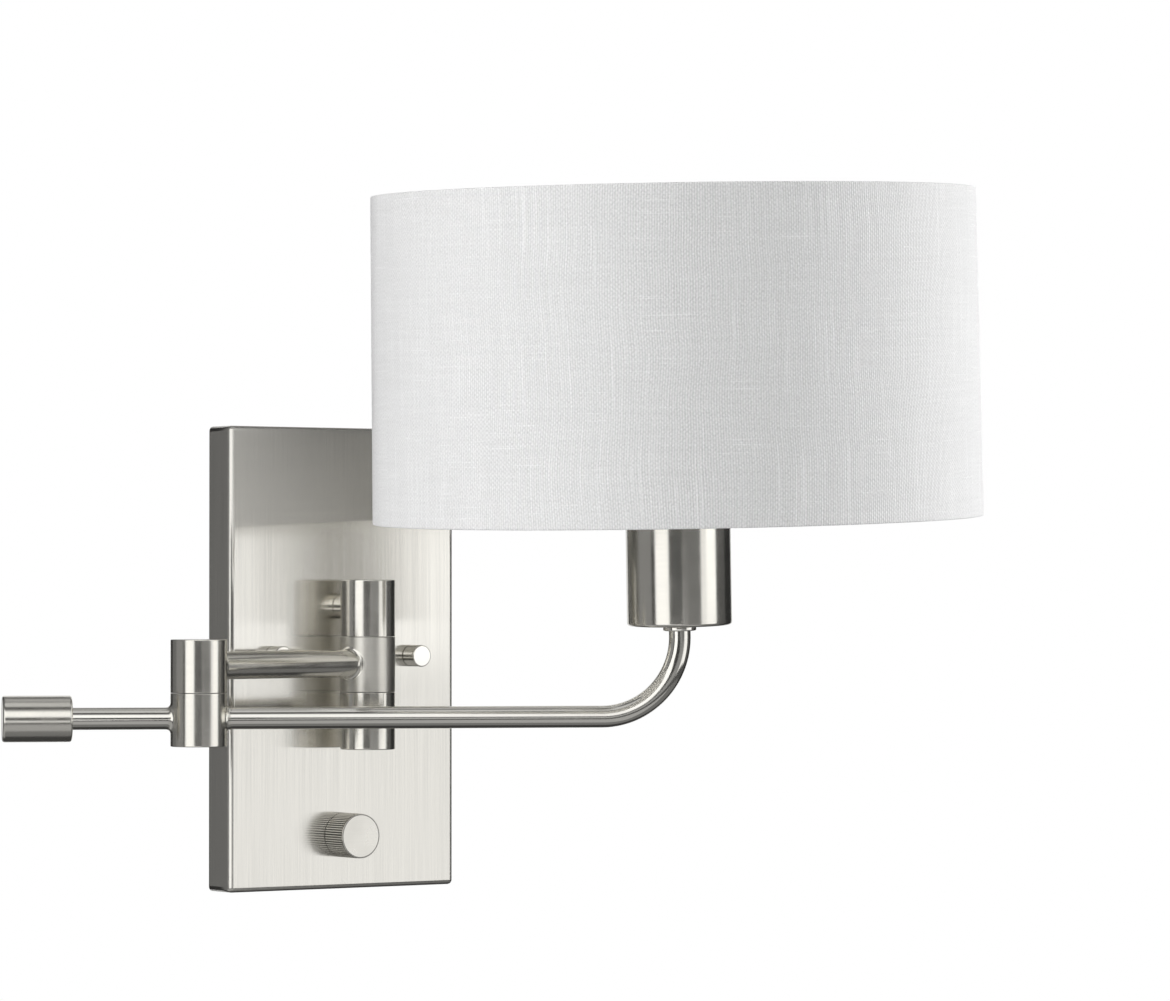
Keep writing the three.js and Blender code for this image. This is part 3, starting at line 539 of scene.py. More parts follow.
def makePlate(sizes):
    low, high = nodeSpan("backplate")
    middle = (low + high) / 2
    work = bmesh.new()
    bmesh.ops.create_cube(work, size=1.0)
    for vert in work.verts:
        vert.co = middle + vert.co * (high - low)
    back = [f for f in work.faces if f.normal.y > 0.5]
    keep = {e for f in back for e in f.edges}
    bmesh.ops.bevel(work, geom=[e for e in work.edges if e not in keep], offset=sizes["edge"],
                    segments=sizes["steps"], profile=0.5, affect="EDGES")
    bmesh.ops.delete(work, geom=[f for f in work.faces if f.normal.y > 0.99], context="FACES_ONLY")
    bmesh.ops.recalc_face_normals(work, faces=work.faces)
    if sum(f.normal.dot(f.calc_center_median() - middle) for f in work.faces) < 0:
        bmesh.ops.reverse_faces(work, faces=work.faces)
    large = [f for f in work.faces if f.calc_area() > sizes["large"]]
    bmesh.ops.inset_individual(work, faces=large, thickness=sizes["rim"], use_even_offset=True)
    layer = work.loops.layers.uv.new("brushing")  # the brush ran up and down, across this map's first axis
    for face in work.faces:
        for loop in face.loops:
            spot = loop.vert.co / sizes["brushScale"]
            loop[layer].uv = (spot.x + (spot.y if spot.x < 0 else -spot.y), spot.z)
    mesh = plainMesh("backplatePan", work)
    mesh.transform(Matrix.Scale(mm, 4))
    finishMesh(mesh, 40.0)
    piece = addPiece("backplatePan", mesh, plateNickel)
    wall = piece.modifiers.new("sheet", "SOLIDIFY")
    wall.thickness = sizes["sheet"] * mm
    wall.offset = -1
    dress(piece, "wall_mount", "brushed_nickel", "backplate")


makePlate(plate)
print("backplate made")


# cap nuts: one nut, set on each stud

capNut = {"radius": 4.675, "length": 8.2, "edge": 0.45, "foot": 0.15, "standoff": 0.3, "sides": 64}


def capNutTree():
    tree, given = newTree("capNutsOnStuds", {"Spacing": 0.06985, "Height": 0.0007, "Count": 2})
    half = mathNode(tree, "MULTIPLY", given["Spacing"], -0.5)
    row = geometryNode(tree, "MeshLine", {
        "Count": given["Count"], "Start Location": vectorNode(tree, X=half, Z=given["Height"]),
        "Offset": vectorNode(tree, X=given["Spacing"]),
    }, mode="OFFSET")
    nuts = geometryNode(tree, "InstanceOnPoints", {"Points": row, "Instance": given["Geometry"]})
    return endTree(tree, given, nuts)


def makeCapNuts(sizes):
    base, end = plateFace + sizes["standoff"], plateFace + sizes["length"]
    profile = softened([
        (0, base), (sizes["radius"], base, sizes["foot"]), (sizes["radius"], end, sizes["edge"]), (0, end),
    ])
    nut = turnedMesh("capNutPattern", profile, sizes["sides"], outFromWall(0, 0), polishedNickel)
    left, right = nodeMiddle("cap_nut_left"), nodeMiddle("cap_nut_right")
    studs = {"Spacing": (right.x - left.x) * mm, "Height": left.z * mm, "Count": 2}
    mesh = runTree("capNuts", nut, capNutTree(), studs, polishedNickel)
    finishMesh(mesh)
    dress(addPiece("capNuts", mesh, polishedNickel), "wall_mount", "polished_nickel",
          "cap_nut_left", "cap_nut_right")


makeCapNuts(capNut)
print("cap nuts made")


# barrels of the two hinges, and the plug under each

barrel = {
    "radius": 11.65, "edge": 0.35, "splitEdge": 0.1, "close": 0.1, "wall": 3.0, "roof": 4.2, "mouth": 0.2,
    "sides": 128,
}


def makeBarrel(name, node, hinge, body, material, splits, openBelow):
    low, high = nodeSpan(node)
    under, over = (barrel["splitEdge" if side in splits else "edge"] for side in ("below", "above"))
    low.z -= barrel["close"] if "below" in splits else 0
    high.z += barrel["close"] if "above" in splits else 0
    bore, roof = barrel["radius"] - barrel["wall"], high.z - barrel["roof"]
    inner = [(0, roof), (bore, roof), (bore, low.z, barrel["mouth"])] if openBelow else [(0, low.z)]
    outer = [(barrel["radius"], low.z, under), (barrel["radius"], high.z, over), (0, high.z)]
    piece = turnedMesh(name, softened(inner + outer), barrel["sides"], upright(hinge), material)
    dress(piece, body, "satin_nickel", node)


for barrelRow in (
    ("postUpperBarrel", "post_upper_barrel", wallHinge, "wall_mount", satinNickel, ["below"], False),
    ("postLowerBarrel", "post_lower_barrel", wallHinge, "wall_mount", satinNickel, ["above"], True),
    ("armWallBarrel", "inner_arm_wall_barrel", wallHinge, "inner_arm", softNickel, ["below", "above"], False),
    ("armElbowBarrel", "inner_arm_elbow_barrel", elbowHinge, "inner_arm", satinNickel, ["below"], False),
    ("elbowLowerBarrel", "elbow_lower_barrel", elbowHinge, "outer_arm", satinNickel, ["above"], True),
):
    makeBarrel(*barrelRow)

plug = {"radius": 8.4, "face": 7.4, "dish": 0.5, "edge": 0.3, "sides": 64}


def makePlug(name, node, hinge, body, sizes):
    low, high = nodeSpan(node)
    profile = softened([
        (0, low.z + sizes["dish"]), (sizes["face"], low.z + sizes["dish"]),
        (sizes["radius"], low.z, sizes["edge"]), (sizes["radius"], high.z), (0, high.z),
    ])
    piece = turnedMesh(name, profile, sizes["sides"], upright(hinge), satinNickel)
    dress(piece, body, "satin_nickel", node)


makePlug("postBottomPlug", "post_bottom_plug", wallHinge, "wall_mount", plug)
makePlug("elbowBottomPlug", "elbow_bottom_plug", elbowHinge, "outer_arm", plug)
print("barrels made")


# neck between the plate and the upper barrel

neck = {"radius": 5.5, "bore": 4.3, "start": 17.0, "into": 3, "edge": 0.2, "sides": 64}


def makeNeck(sizes):
    end = sizes["into"] - nodeSpan("neck_sleeve")[0].y
    profile = softened([
        (sizes["bore"], sizes["start"]), (sizes["radius"], sizes["start"], sizes["edge"]),
        (sizes["radius"], end), (sizes["bore"], end),
    ])
    middle = nodeMiddle("neck_sleeve")
    piece = turnedMesh("neckSleeve", profile, sizes["sides"], outFromWall(middle.x, middle.z), satinNickel)
    dress(piece, "wall_mount", "satin_nickel", "neck_sleeve")


makeNeck(neck)


# arms

arms = {
    "innerRadius": 5.8, "innerHeight": -1.975, "innerLength": 98.0, "innerInset": 8.5,
    "rodRadius": 4.575, "rodHeight": -23.475, "rodInset": 9.5, "reach": 200.3, "rise": 35.7, "bend": 32.7,
    "leanBack": 1.3, "leanOut": 2.2, "bendSteps": 40, "sides": 96,
}
handle = {"length": 70, "gripStart": 52.0, "gripEnd": 80.4, "grip": 9.525, "bore": 4.875, "floor": 8,
          "edge": 1.0, "mouth": 0.2, "sides": 128}


def direction(heading):
    return Vector((cos(radians(heading)), sin(radians(heading)), 0))


def makeInnerArm(sizes):
    start = Vector((wallHinge.x, wallHinge.y, sizes["innerHeight"]))
    inset = sizes["innerInset"]
    line = [start + direction(armHeading) * reach for reach in (inset, sizes["innerLength"] - inset)]
    piece = tube("innerArmTube", line, sizes["innerRadius"], innerNickel, sizes["sides"])
    dress(piece, "inner_arm", "satin_nickel", "inner_arm_tube")


def headShape(sizes):
    # foot of the lamp head and the direction it leans, in the rod's own frame
    back, out = tan(radians(sizes["leanBack"])), tan(radians(sizes["leanOut"]))
    foot = Vector((sizes["reach"], -sizes["rise"] * out, sizes["rodHeight"] + sizes["rise"]))
    lean = Vector((-back, -out, 1)).normalized()
    return foot, lean


def rodLine(sizes, start, lift):
    foot, lean = headShape(sizes)
    run = Vector((1, 0, 0))
    sweep = run.angle(lean)
    rise = (lean - run * lean.dot(run)).normalized()
    bend = sizes["bend"]
    meet = foot + lean * ((sizes["rodHeight"] - foot.z) / lean.z)
    centre = meet - run * (bend * tan(sweep / 2)) + rise * bend
    points = [Vector((start, 0, sizes["rodHeight"]))]
    for k in range(sizes["bendSteps"] + 1):
        angle = sweep * k / sizes["bendSteps"]
        points.append(centre + run * (bend * sin(angle)) - rise * (bend * cos(angle)))
    points.append(foot + lean * lift)
    return points


def fromElbow(point):
    turned = Matrix.Rotation(radians(rodHeading), 3, "Z") @ Vector(point)
    return turned + Vector((elbowHinge.x, elbowHinge.y, 0))


def makeOuterRod(sizes):
    line = [fromElbow(p) for p in rodLine(sizes, sizes["rodInset"], 1.0)]
    piece = tube("outerRod", line, sizes["rodRadius"], rodNickel, sizes["sides"])
    dress(piece, "outer_arm", "polished_nickel", "outer_rod")


def makeHandle(rod, sizes):
    start, end = rod["rodInset"], sizes["length"]
    profile = softened([(0, start), (rod["rodRadius"], start), (rod["rodRadius"], end), (0, end)])
    place = alongHeading(Vector((elbowHinge.x, elbowHinge.y, rod["rodHeight"])), rodHeading + 180)
    piece = turnedMesh("handleRod", profile, rod["sides"], place, rodNickel)
    dress(piece, "outer_arm", "polished_nickel", "handle_rod")
    start, end, radius, edge = sizes["gripStart"], sizes["gripEnd"], sizes["grip"], sizes["edge"]
    bore, floor = sizes["bore"], end - sizes["floor"]
    profile = softened([
        (0, floor), (bore, floor), (bore, start, sizes["mouth"]), (radius, start, edge), (radius, end, edge),
        (0, end),
    ])
    piece = turnedMesh("handleGrip", profile, sizes["sides"], place, gripNickel)
    dress(piece, "outer_arm", "satin_nickel", "handle_grip")


weld = {"innerReach": 1.4, "rodReach": 2.0, "under": 1.2, "inside": 0.8, "around": 96, "steps": 8}


def makeWeld(name, hinge, heading, arm, body):
    # the smooth corner where a round arm meets a barrel
    along = direction(heading)
    side = Vector((-along.y, along.x, 0))
    centre = Vector((hinge.x, hinge.y, arms[arm + "Height"]))
    radius, reach = arms[arm + "Radius"], weld[arm + "Reach"]
    work = bmesh.new()
    rings = []
    for k in range(weld["around"]):
        turn = 2 * pi * k / weld["around"]
        out = side * cos(turn) + Vector((0, 0, sin(turn)))

        def onBarrel(distance):
            flat = distance * cos(turn)
            return centre + out * distance + along * sqrt(barrel["radius"] ** 2 - flat ** 2)

        corner = onBarrel(radius)
        start, end = corner + along * reach, onBarrel(radius + reach)
        ring = [corner - along * weld["under"] - out * weld["inside"]]
        for j in range(weld["steps"] + 1):
            t = j / weld["steps"]
            ring.append(start * (1 - t) ** 2 + corner * 2 * t * (1 - t) + end * t ** 2)
        rings.append([work.verts.new(p * mm) for p in ring])
    for here, there in zip(rings, [*rings[1:], rings[0]]):
        for j in range(len(here)):
            n = (j + 1) % len(here)
            work.faces.new((here[j], here[n], there[n], there[j]))
    bmesh.ops.recalc_face_normals(work, faces=work.faces)
    mesh = plainMesh(name, work)
    finishMesh(mesh, 50.0)
    dress(addPiece(name, mesh, satinNickel), body, "satin_nickel")


makeInnerArm(arms)
makeOuterRod(arms)
makeHandle(arms, handle)
makeWeld("wallWeld", wallHinge, armHeading, "inner", "inner_arm")
makeWeld("elbowWeld", elbowHinge, armHeading - 180, "inner", "inner_arm")
makeWeld("rodWeld", elbowHinge, rodHeading, "rod", "outer_arm")
makeWeld("handleWeld", elbowHinge, rodHeading + 180, "rod", "outer_arm")
print("arms made")


# lamp head: everything stands on the foot and leans with it

foot, lean = headShape(arms)
headPlace = (
    Matrix.Translation(fromElbow(foot) * mm)
    @ Matrix.Rotation(radians(rodHeading), 4, "Z")
    @ Vector((0, 0, 1)).rotation_difference(lean).to_matrix().to_4x4()
)


def onHead(name, profile, sides, material, slotName, node, limit=35.0):
    piece = turnedMesh(name, profile, sides, headPlace, material, limit)
    dress(piece, "outer_arm", slotName, node)
    return piece


def washer(bore, radius, low, high, edge):
    return softened([(bore, low), (radius, low, edge), (radius, high, edge), (bore, high)])


head = {
    "bore": 4.3, "collar": 7.0, "collarHeight": 2.0, "collarEdge": 0.5,
    "cup": 21.9, "cupFloor": 2.3, "cupRim": 59.0, "cupSheet": 1.0, "cupEdge": 1.3, "rimEdge": 0.3,
    "insideEdge": 0.4, "collarSides": 96, "cupSides": 160,
}


def makeHead(sizes):
    collar = washer(sizes["bore"], sizes["collar"], 0, sizes["collarHeight"], sizes["collarEdge"])
    onHead("socketCollar", collar, sizes["collarSides"], polishedNickel, "polished_nickel", "socket_collar")
    floor, rim, outer = sizes["cupFloor"], sizes["cupRim"], sizes["cup"]
    inner, inside = outer - sizes["cupSheet"], floor + sizes["cupSheet"]
    cup = softened([
        (sizes["bore"], floor), (outer, floor, sizes["cupEdge"]), (outer, rim, sizes["rimEdge"]),
        (inner, rim, sizes["rimEdge"]), (inner, inside, sizes["insideEdge"]), (sizes["bore"], inside),
    ], 6)
    onHead("socketCup", cup, sizes["cupSides"], cupNickel, "satin_nickel", "socket_cup")


makeHead(head)
print("lamp head made")


# shade

shade = {
    "bottomRadius": 127.0, "topRadius": 125.6, "height": 136.0, "lift": 46.25,
    "cloth": 0.7, "gap": 0.3, "liner": 0.9, "turnIn": 9.0, "fold": 0.6, "linerEdge": 1, "sides": 288,
}


def shadeRadius(height, inset):
    slope = (shade["bottomRadius"] - shade["topRadius"]) / shade["height"]
    return shade["bottomRadius"] - (height - shade["lift"]) * slope - inset


def makeShade(sizes):
    low, high = sizes["lift"], sizes["lift"] + sizes["height"]
    cloth, gap, liner, fold = sizes["cloth"], sizes["gap"], sizes["liner"], sizes["fold"]
    behind = cloth + gap + liner + gap
    lowHem, highHem = low + sizes["turnIn"], high - sizes["turnIn"]
    corners = [
        # height on the wall, inset, height, rounding
        (lowHem, behind + cloth, lowHem, 0), (low, behind + cloth, low, fold), (low, 0, low, fold),
        (high, 0, high, fold), (high, behind + cloth, high, fold), (highHem, behind + cloth, highHem, 0),
        (highHem, behind, highHem, 0), (high, behind, high - cloth, 0), (high, cloth, high - cloth, 0),
        (low, cloth, low + cloth, 0), (low, behind, low + cloth, 0), (lowHem, behind, lowHem, 0),
    ]
    profile = softened([(shadeRadius(at, inset), height, r) for at, inset, height, r in corners], 3)
    piece = onHead("shadeLinen", profile, sizes["sides"], linenCloth, "linen", "shade_fabric", 60.0)
    mapCloth(piece.data, profile)
    front, edge = cloth + gap, sizes["linerEdge"]
    profile = softened([
        (shadeRadius(low, front + liner), low + edge), (shadeRadius(low, front), low + edge),
        (shadeRadius(high, front), high - edge), (shadeRadius(high, front + liner), high - edge),
    ])
    onHead("shadeLiner", profile, sizes["sides"], whiteLiner, "styrene", "shade_liner")


def mapCloth(mesh, profile):
    # the map runs in millimetres: round the shade, and along the cloth from edge to edge
    layer = mesh.uv_layers.new(name="clothMap")
    line = supported([Vector(p) for p in profile])
    lengths = [0.0]
    for a, b in zip(line, [*line[1:], line[0]]):
        lengths.append(lengths[-1] + (b - a).length)
    toHead = headPlace.inverted()
    for face in mesh.polygons:
        spots = [toHead @ mesh.vertices[index].co for index in face.vertices]
        angles = [atan2(spot.y, spot.x) for spot in spots]
        wraps = max(angles) - min(angles) > pi
        rings = [index // shade["sides"] for index in face.vertices]
        closing = max(rings) - min(rings) > 1
        for loopIndex, angle, ring in zip(face.loop_indices, angles, rings):
            if wraps and angle < 0:
                angle += 2 * pi
            along = lengths[-1] if closing and ring == 0 else lengths[ring]
            layer.data[loopIndex].uv = (angle * shade["bottomRadius"], along)


makeShade(shade)
print("shade made")


# shade frame: ring wires and the three arms of the fitter

shadeFrame = {
    "wire": 1.4, "wireLift": 2.4, "wireSteps": 180, "arm": 1.5, "arms": 3, "armStart": 22.5,
    "armHeight": 60.1, "bore": 18.1, "edge": 0.4, "fitter": 24.0, "fitterLow": 59.3, "fitterHigh": 60.9,
    "nut": 21.3, "nutLow": 61.2, "nutHigh": 65.7, "sides": 96,
}


def makeShadeFrame(sizes):
    layers = ("cloth", "gap", "liner", "gap", "cloth", "gap")
    inset = sum(shade[layer] for layer in layers) + sizes["wire"]
    low = shade["lift"] + sizes["wireLift"]
    high = shade["lift"] + shade["height"] - sizes["wireLift"]

    def wirePiece(name, node, points, radius, sides, closed=False):
        placed = [headPlace @ (p * mm) / mm for p in points]
        dress(tube(name, placed, radius, whiteEnamel, sides, closed), "outer_arm", "white_enamel", node)

    for name, node, height in (
        ("shadeBottomRing", "shade_bottom_ring", low),
        ("shadeTopRing", "shade_top_ring", high),
    ):
        radius = shadeRadius(height, inset)
        turns = [2 * pi * k / sizes["wireSteps"] for k in range(sizes["wireSteps"])]
        points = [Vector((radius * cos(a), radius * sin(a), height)) for a in turns]
        wirePiece(name, node, points, sizes["wire"], 16, True)
    for k in range(sizes["arms"]):
        outwards = direction(360 * k / sizes["arms"])
        start = outwards * sizes["armStart"] + Vector((0, 0, sizes["armHeight"]))
        end = outwards * shadeRadius(low, inset) + Vector((0, 0, low))
        wirePiece(f"fitterArm{k + 1}", f"fitter_arm_{k + 1}", (start, end), sizes["arm"], 20)
    fitter = washer(sizes["bore"], sizes["fitter"], sizes["fitterLow"], sizes["fitterHigh"], sizes["edge"])
    onHead("shadeFitter", fitter, sizes["sides"], whiteEnamel, "white_enamel", "shade_fitter")
    nut = washer(sizes["bore"], sizes["nut"], sizes["nutLow"], sizes["nutHigh"], sizes["edge"])
    onHead("shadeRingNut", nut, sizes["sides"], blackMoulding, "black_plastic", "shade_ring_nut")


makeShadeFrame(shadeFrame)
print("shade frame made")


# lampholder and bulb, seen from above

lampholder = {
    "radius": 17.5, "bore": 14.8, "low": 20.2, "floor": 26.7, "rim": 67.5, "edge": 0.5, "mouth": 0.4,
    "sides": 96,
}
bulb = {
    "neckRadius": 12.5, "seat": 28.8, "capLength": 27.0, "into": 4, "neck": 10.0, "globe": 30.0,
    "length": 82.0, "neckSteps": 16, "globeSteps": 30, "sides": 96,
}


def makeLampholder(sizes):
    body = softened([
        (0, sizes["low"]), (sizes["radius"], sizes["low"]), (sizes["radius"], sizes["rim"], sizes["edge"]),
        (sizes["bore"], sizes["rim"], sizes["mouth"]), (sizes["bore"], sizes["floor"]), (0, sizes["floor"]),
    ])
    onHead("lampholderBody", body, sizes["sides"], blackMoulding, "black_plastic", "lampholder_body")


def makeBulb(sizes):
    neckRadius, globe = sizes["neckRadius"], sizes["globe"]
    rim = sizes["seat"] + sizes["capLength"]
    centre = Vector((0, rim + sizes["length"] - globe))
    low = -pi / 6  # where the neck meets the globe

    def onGlobe(angle):
        return centre + Vector((cos(angle), sin(angle))) * globe

    a, b = Vector((neckRadius, rim + sizes["neck"])), Vector((neckRadius, rim + sizes["length"] / 5))
    d = onGlobe(low)
    c = d - Vector((globe / 5, globe / 3))
    points = [Vector((0, rim - sizes["into"])), Vector((neckRadius, rim - sizes["into"]))]
    for k in range(sizes["neckSteps"] + 1):
        t = k / sizes["neckSteps"]
        points.append(a * (1 - t) ** 3 + b * 3 * t * (1 - t) ** 2 + c * 3 * t * t * (1 - t) + d * t ** 3)
    for k in range(1, sizes["globeSteps"] + 1):
        points.append(onGlobe(low + (pi / 2 - low) * k / sizes["globeSteps"]))
    points[-1].x = 0.0
    onHead("bulbGlobe", points, sizes["sides"], frostedGlass, "frosted_glass", "bulb_globe")


makeLampholder(lampholder)
makeBulb(bulb)
print("bulb made")


# dimmer knob: a smooth body with straight ridges round its side

knob = {
    "radius": 9.525, "length": 14.0, "standoff": 0.25, "ridges": 56, "ridge": 0.5, "width": 0.34,
    "sunk": 0.02, "ridgeEnd": 0.9, "shoulder": 1.1, "cap": 0.1, "capHeight": 0.6, "capEdge": 0.15,
    "bore": 3.4, "boreDepth": 4, "recess": 7.9, "recessDepth": 3, "mouth": 0.2, "foot": 0.1, "sides": 128,
}


def ridgeTree():
    tree, given = newTree("knobRidges", {
        "Radius": 0.009, "Count": 60, "Ridge Width": 0.0005, "Ridge Length": 0.01, "Start": 0.018,
    })
    circle = geometryNode(tree, "CurvePrimitiveCircle", {
        "Resolution": given["Count"], "Radius": given["Radius"],
    })
    points = geometryNode(tree, "CurveToPoints", {"Curve": circle, "Count": given["Count"]}, mode="COUNT")
    ridge = geometryNode(tree, "MeshCylinder", {
        "Vertices": 10, "Radius": given["Ridge Width"], "Depth": given["Ridge Length"],
    })
    middle = mathNode(tree, "MULTIPLY_ADD", given["Ridge Length"], 0.5, given["Start"])
    shift = geometryNode(tree, "Transform", {"Geometry": ridge, "Translation": vectorNode(tree, Z=middle)})
    ridges = geometryNode(tree, "InstanceOnPoints", {"Points": points, "Instance": shift})
    merge = geometryNode(tree, "JoinGeometry", {"Geometry": ridges})
    tree.links.new(given["Geometry"], merge.node.inputs["Geometry"])
    return endTree(tree, given, merge)


def makeKnob(sizes):
    radius = sizes["radius"]
    start, end = plateFace + sizes["standoff"], plateFace + sizes["length"]
    core, cap = radius - sizes["ridge"], radius - sizes["cap"]
    recess, bore = start + sizes["recessDepth"], start + sizes["boreDepth"]
    profile = softened([
        (sizes["bore"], recess), (sizes["recess"], recess), (sizes["recess"], start, sizes["mouth"]),
        (core, start, sizes["foot"]), (core, end - sizes["shoulder"]), (cap, end - sizes["capHeight"]),
        (cap, end, sizes["capEdge"]), (0, end), (0, bore), (sizes["bore"], bore),
    ], 3)
    body = turnedMesh("knobBody", profile, sizes["sides"], Matrix.Identity(4), knobNickel)
    mesh = runTree("dimmerKnob", body, ridgeTree(), {
        "Radius": (radius - sizes["width"] - sizes["sunk"]) * mm, "Count": sizes["ridges"],
        "Ridge Width": sizes["width"] * mm, "Ridge Length": (end - start - sizes["ridgeEnd"]) * mm,
        "Start": (start + sizes["sunk"]) * mm,
    }, knobNickel)
    middle = nodeMiddle("dimmer_knob")
    mesh.transform(outFromWall(middle.x, middle.z))
    finishMesh(mesh, 30.0)
    dress(addPiece("dimmerKnob", mesh, knobNickel), "dimmer_knob", "satin_nickel", "dimmer_knob")


def paintGrooveShade(tree, axis, full, deep):
    # painted shade: the grooves between the ridges, nearer to the knob's axis than their tops, are painted
    # darker
    edge = deep / full
    side = ramp(tree, scaledDistance(tree, (1 / full, 0, 1 / full), axis), [
        (edge - 0.02, 1.0), (edge - 0.012, 0.2), (edge + 0.008, 0.25), (0.992, 1.0),
    ])
    shader = nodeOf(tree, "BSDF_PRINCIPLED")
    setTone(tree, shader, shader.inputs["Base Color"].links[0].from_socket, side)


makeKnob(knob)
# painted shade in the knob's grooves, multiplied into its colour
paintGrooveShade(knobNickel.node_tree, nodeMiddle("dimmer_knob") * mm, knob["radius"] * mm,
              (knob["radius"] - knob["ridge"]) * mm)
print("knob made")


# finishes of the pieces that stay as they came

stayingFinishes = [
    (zincPlate, [
        "mounting_bracket", "stud_left", "stud_right", "stud_nut_left", "stud_nut_right", "neck_nipple",
        "neck_washer", "neck_lock_nut", "dimmer_nut", "post_pivot_tube", "post_pivot_nut",
        "elbow_pivot_tube", "elbow_pivot_nut", "socket_lock_nut", "bulb_cap",
    ]),
    (greenScrew, ["ground_screw"]),
    (wireJacket, ["neck_wires", "dimmer_lead", "inner_arm_wires", "outer_arm_wires"]),
    (blackMoulding, ["dimmer_body", "lampholder_cap"]),
    (plainBrass, ["dimmer_bushing", "dimmer_shaft", "lampholder_screw_shell", "lampholder_contact"]),
    (greyNylon, ["wall_hinge_upper_washer", "wall_hinge_lower_washer", "elbow_washer"]),
]

for material, names in stayingFinishes:
    for name in names:
        coat(frame["nodes"][name].data, material)
print("staying pieces finished")


# studio: a white room, soft lamps, and panels that the nickel shows

studio = {
    "centre": (0.05, -0.1, 0.0),
    "radius": 2.6,
    "panelWidth": 6, "panelHeight": 8,  # degrees
    "fill": 0.10,
    "lampDistance": 2.2,
    "lamps": [
        # name, degrees right of the camera, lift, size, watts
        ("leftLamp", -56, 6, (1.3, 1.8), 39.5),
        ("rightLamp", 97, 6, (1.1, 1.8), 42.5),
        ("frontLamp", 25, 10, (1.2, 1.2), 11.3),
        ("topLamp", 0, 82, (2.0, 2.0), 12.0),
    ],
    "inside": {"place": (0.055, -0.03, 0.06), "watts": 0.15, "size": 0.02},
    "flag": {"near": (-0.14, -0.07), "far": (-0.14, 0.4), "low": 0.05, "high": 0.3},
    "floor": {"height": -2.4, "size": 6.0, "paint": (0.8, 0.8, 0.8), "reach": 10, "pale": 0.88},
}

# what the nickel sees: from and to in degrees right of the camera, from and to in degrees above level,
# brightness, and nearness, which is 1 at the studio's radius
panels = [
    (-53, 9, -16, 38, 1.25, 1.0),
    (-20, 9, -8, 8, 0.05, 0.5),
    (9, 20, 4.5, 38, 1.1, 1.0),
    (9, 20, -16, -4.5, 0.45, 1.0),
    (9, 49, -4.5, 4.5, 0.14, 0.5),
    (20, 49, 4.5, 38, 0.75, 1.0),
    (20, 49, -16, -4.5, 0.30, 1.0),
    (49, 62, -18, 38, 1.0, 1.0),
    (62, 87, -18, 38, 1.12, 1.0),
    (62, 87, -1, 3.6, 1.42, 0.5),
    (87, 118, -16, 38, 0.10, 1.0),
    (118, 156, -26, 38, 0.03, 1.0),
    (156, 208, -26, 38, 0.8, 1.0),
    (208, 235, -26, 38, 0.03, 1.0),
    (-62, -53, -26, 38, 0.04, 1.0),
    (-98, -62, -26, 38, 0.25, 1.0),
    (-125, -98, -26, 38, 0.16, 1.0),
    (-53, 118, -26, -16, 0.08, 1.0),
    (-60, 60, 38, 46, 0.45, 1.0),
    (-60, 60, 46, 62, 0.09, 1.0),
    (60, 300, 38, 62, 0.18, 1.0),
    (-60, 60, 62, 90, 0.60, 1.0),
    (60, 150, 62, 90, 0.20, 1.0),
    (150, 210, 62, 90, 0.45, 1.0),
    (210, 300, 62, 90, 0.20, 1.0),
    (-115, 60, -60, -26, 0.40, 0.6),
    (60, 118, -60, -26, 0.17, 0.6),
    (-115, 118, -90, -60, 0.19, 0.6),
    (118, 245, -90, -26, 0.05, 0.6),
]


def compass(azimuth, lift):
    angle, rise = radians(270 - cameraSetup["turn"] + azimuth), radians(lift)
    return Vector((cos(angle) * cos(rise), sin(angle) * cos(rise), sin(rise)))


def hideFrom(thing, *rays):
    for ray in rays:
        setattr(thing, "visible_" + ray, False)


def makePanels(setup, rows):
    work = bmesh.new()
    glow = work.faces.layers.float.new("glow")
    for start, end, low, high, brightness, nearness in rows:
        across = max(1, round((end - start) / setup["panelWidth"]))
        rises = max(1, round((high - low) / setup["panelHeight"]))
        reach = setup["radius"] * nearness
        grid = []
        for j in range(rises + 1):
            lift = low + (high - low) * j / rises
            turns = [start + (end - start) * i / across for i in range(across + 1)]
            grid.append([work.verts.new(Vector(setup["centre"]) + compass(a, lift) * reach) for a in turns])
        for j in range(rises):
            for i in range(across):
                face = work.faces.new((grid[j][i], grid[j][i + 1], grid[j + 1][i + 1], grid[j + 1][i]))
                face[glow] = brightness
    material, tree, light = newMaterial("panelGlow", "ShaderNodeEmission")
    glows = addNode(tree, "ShaderNodeAttribute", attribute_name="glow")
    feed(tree, light, {"Strength": glows.outputs["Fac"]})
    card = addPiece("studioPanels", plainMesh("studioPanels", work), material)
    hideFrom(card, "camera", "diffuse", "shadow", "transmission", "volume_scatter")


def addLamp(name, kind, place, watts, **settings):
    data = bpy.data.lights.new(name, kind)
    data.energy = watts
    for key, value in settings.items():
        setattr(data, key, value)
    lamp = newObject(name, data)
    lamp.location = place
    hideFrom(lamp, "glossy")
    return lamp


def makeLamps(setup):
    for name, azimuth, lift, (width, height), watts in setup["lamps"]:
        way = compass(azimuth, lift)
        place = Vector(setup["centre"]) + way * setup["lampDistance"]
        lamp = addLamp(name, "AREA", place, watts, shape="RECTANGLE", size=width, size_y=height)
        lamp.rotation_euler = (-way).to_track_quat("-Z", "Y").to_euler()
    # this one stands in for the light that comes through the linen
    inside = setup["inside"]
    addLamp("insideLamp", "POINT", headPlace @ Vector(inside["place"]), inside["watts"],
            shadow_soft_size=inside["size"])


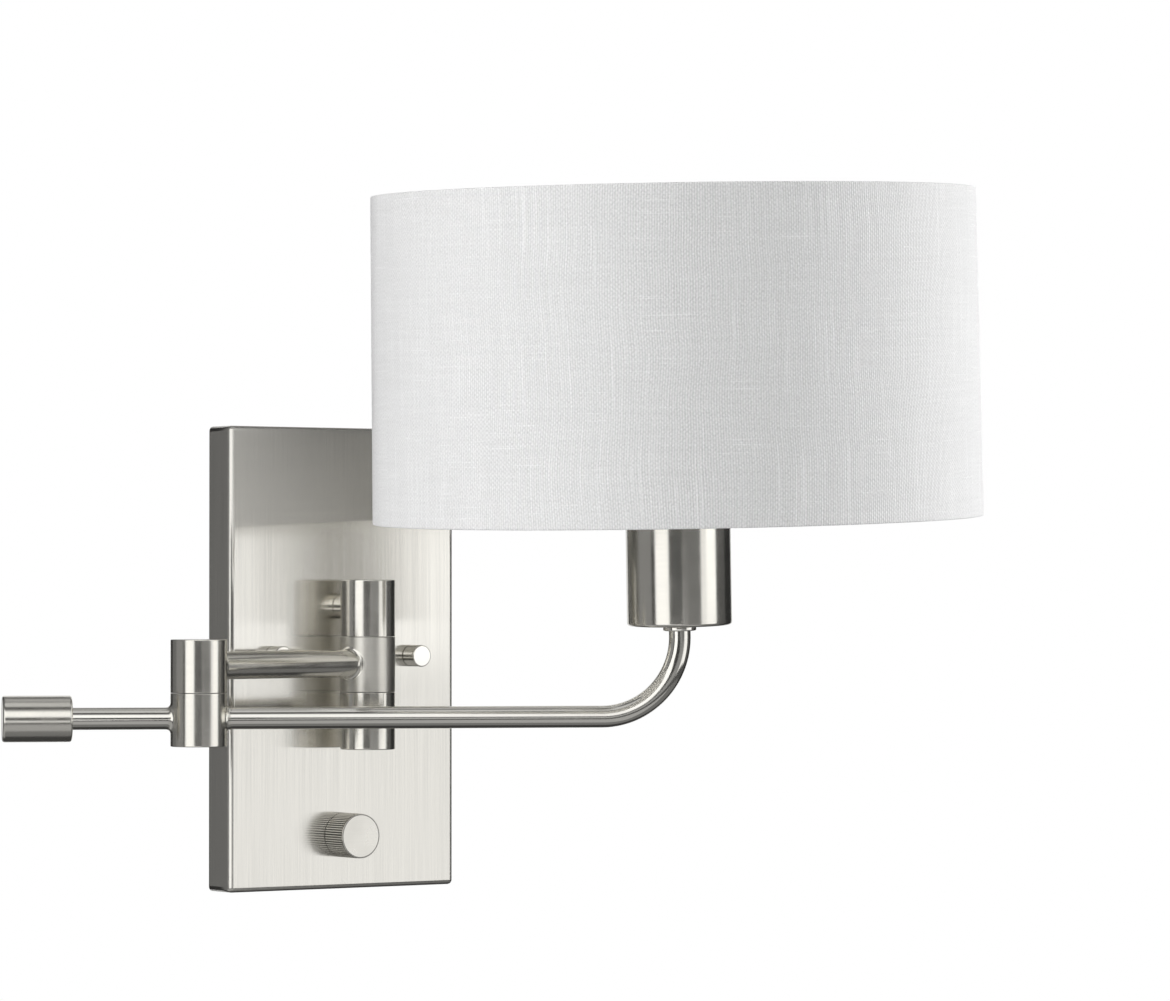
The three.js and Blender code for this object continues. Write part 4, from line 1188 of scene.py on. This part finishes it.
def makeFlag(sizes):
    # keeps the left lamp off the back of the shade
    near, far, low, high = sizes.values()
    mesh = bpy.data.meshes.new("backFlag")
    mesh.from_pydata([(*near, low), (*far, low), (*far, high), (*near, high)], [], [(0, 1, 2, 3)])
    flag = addPiece("backFlag", mesh, blackMoulding)
    hideFrom(flag, "camera", "glossy", "diffuse", "transmission")


def makeFloor(sizes):
    work = bmesh.new()
    bmesh.ops.create_grid(work, x_segments=1, y_segments=1, size=sizes["size"])
    mesh = plainMesh("floor", work)
    mesh.transform(Matrix.Translation((0, 0, sizes["height"])))
    material = plainFinish("floorPaint", sizes["paint"], 0.8, grain=4.0, depth=0.0, contrast=0.02)
    tree = material.node_tree
    # pale under the lamp, and white towards its edges
    away = scaledDistance(tree, (1 / sizes["reach"], 1 / sizes["reach"], 0))
    paleness = ramp(tree, away, [(0.1, sizes["pale"]), (0.5, 1.0)])
    seen = addNode(tree, "ShaderNodeLightPath").outputs["Is Camera Ray"]
    white = addNode(tree, "ShaderNodeEmission", {"Strength": 1.0})
    mix = addNode(tree, "ShaderNodeMixShader", {
        0: mathNode(tree, "MULTIPLY", seen, paleness),
        1: nodeOf(tree, "BSDF_PRINCIPLED").outputs[0], 2: white.outputs[0],
    })
    feed(tree, nodeOf(tree, "OUTPUT_MATERIAL"), {"Surface": mix.outputs[0]})
    addPiece("floor", mesh, material)


def makeRoom(fill):
    world = bpy.data.worlds.new("room")
    bpy.context.scene.world = world
    world.use_nodes = True
    tree = world.node_tree
    tree.nodes.clear()
    rays = addNode(tree, "ShaderNodeLightPath").outputs
    seen = mathNode(tree, "MAXIMUM", rays["Is Camera Ray"], rays["Is Glossy Ray"])
    seen = mathNode(tree, "MAXIMUM", seen, rays["Is Transmission Ray"])
    soft, white = (
        addNode(tree, "ShaderNodeBackground", {"Color": (1, 1, 1, 1), "Strength": strength}).outputs[0]
        for strength in (fill, 1.0)
    )
    mix = addNode(tree, "ShaderNodeMixShader", {0: seen, 1: soft, 2: white})
    addNode(tree, "ShaderNodeOutputWorld", {"Surface": mix.outputs[0]})


makePanels(studio, panels)
makeLamps(studio)
makeFlag(studio["flag"])
makeFloor(studio["floor"])
makeRoom(studio["fill"])
print("studio made")
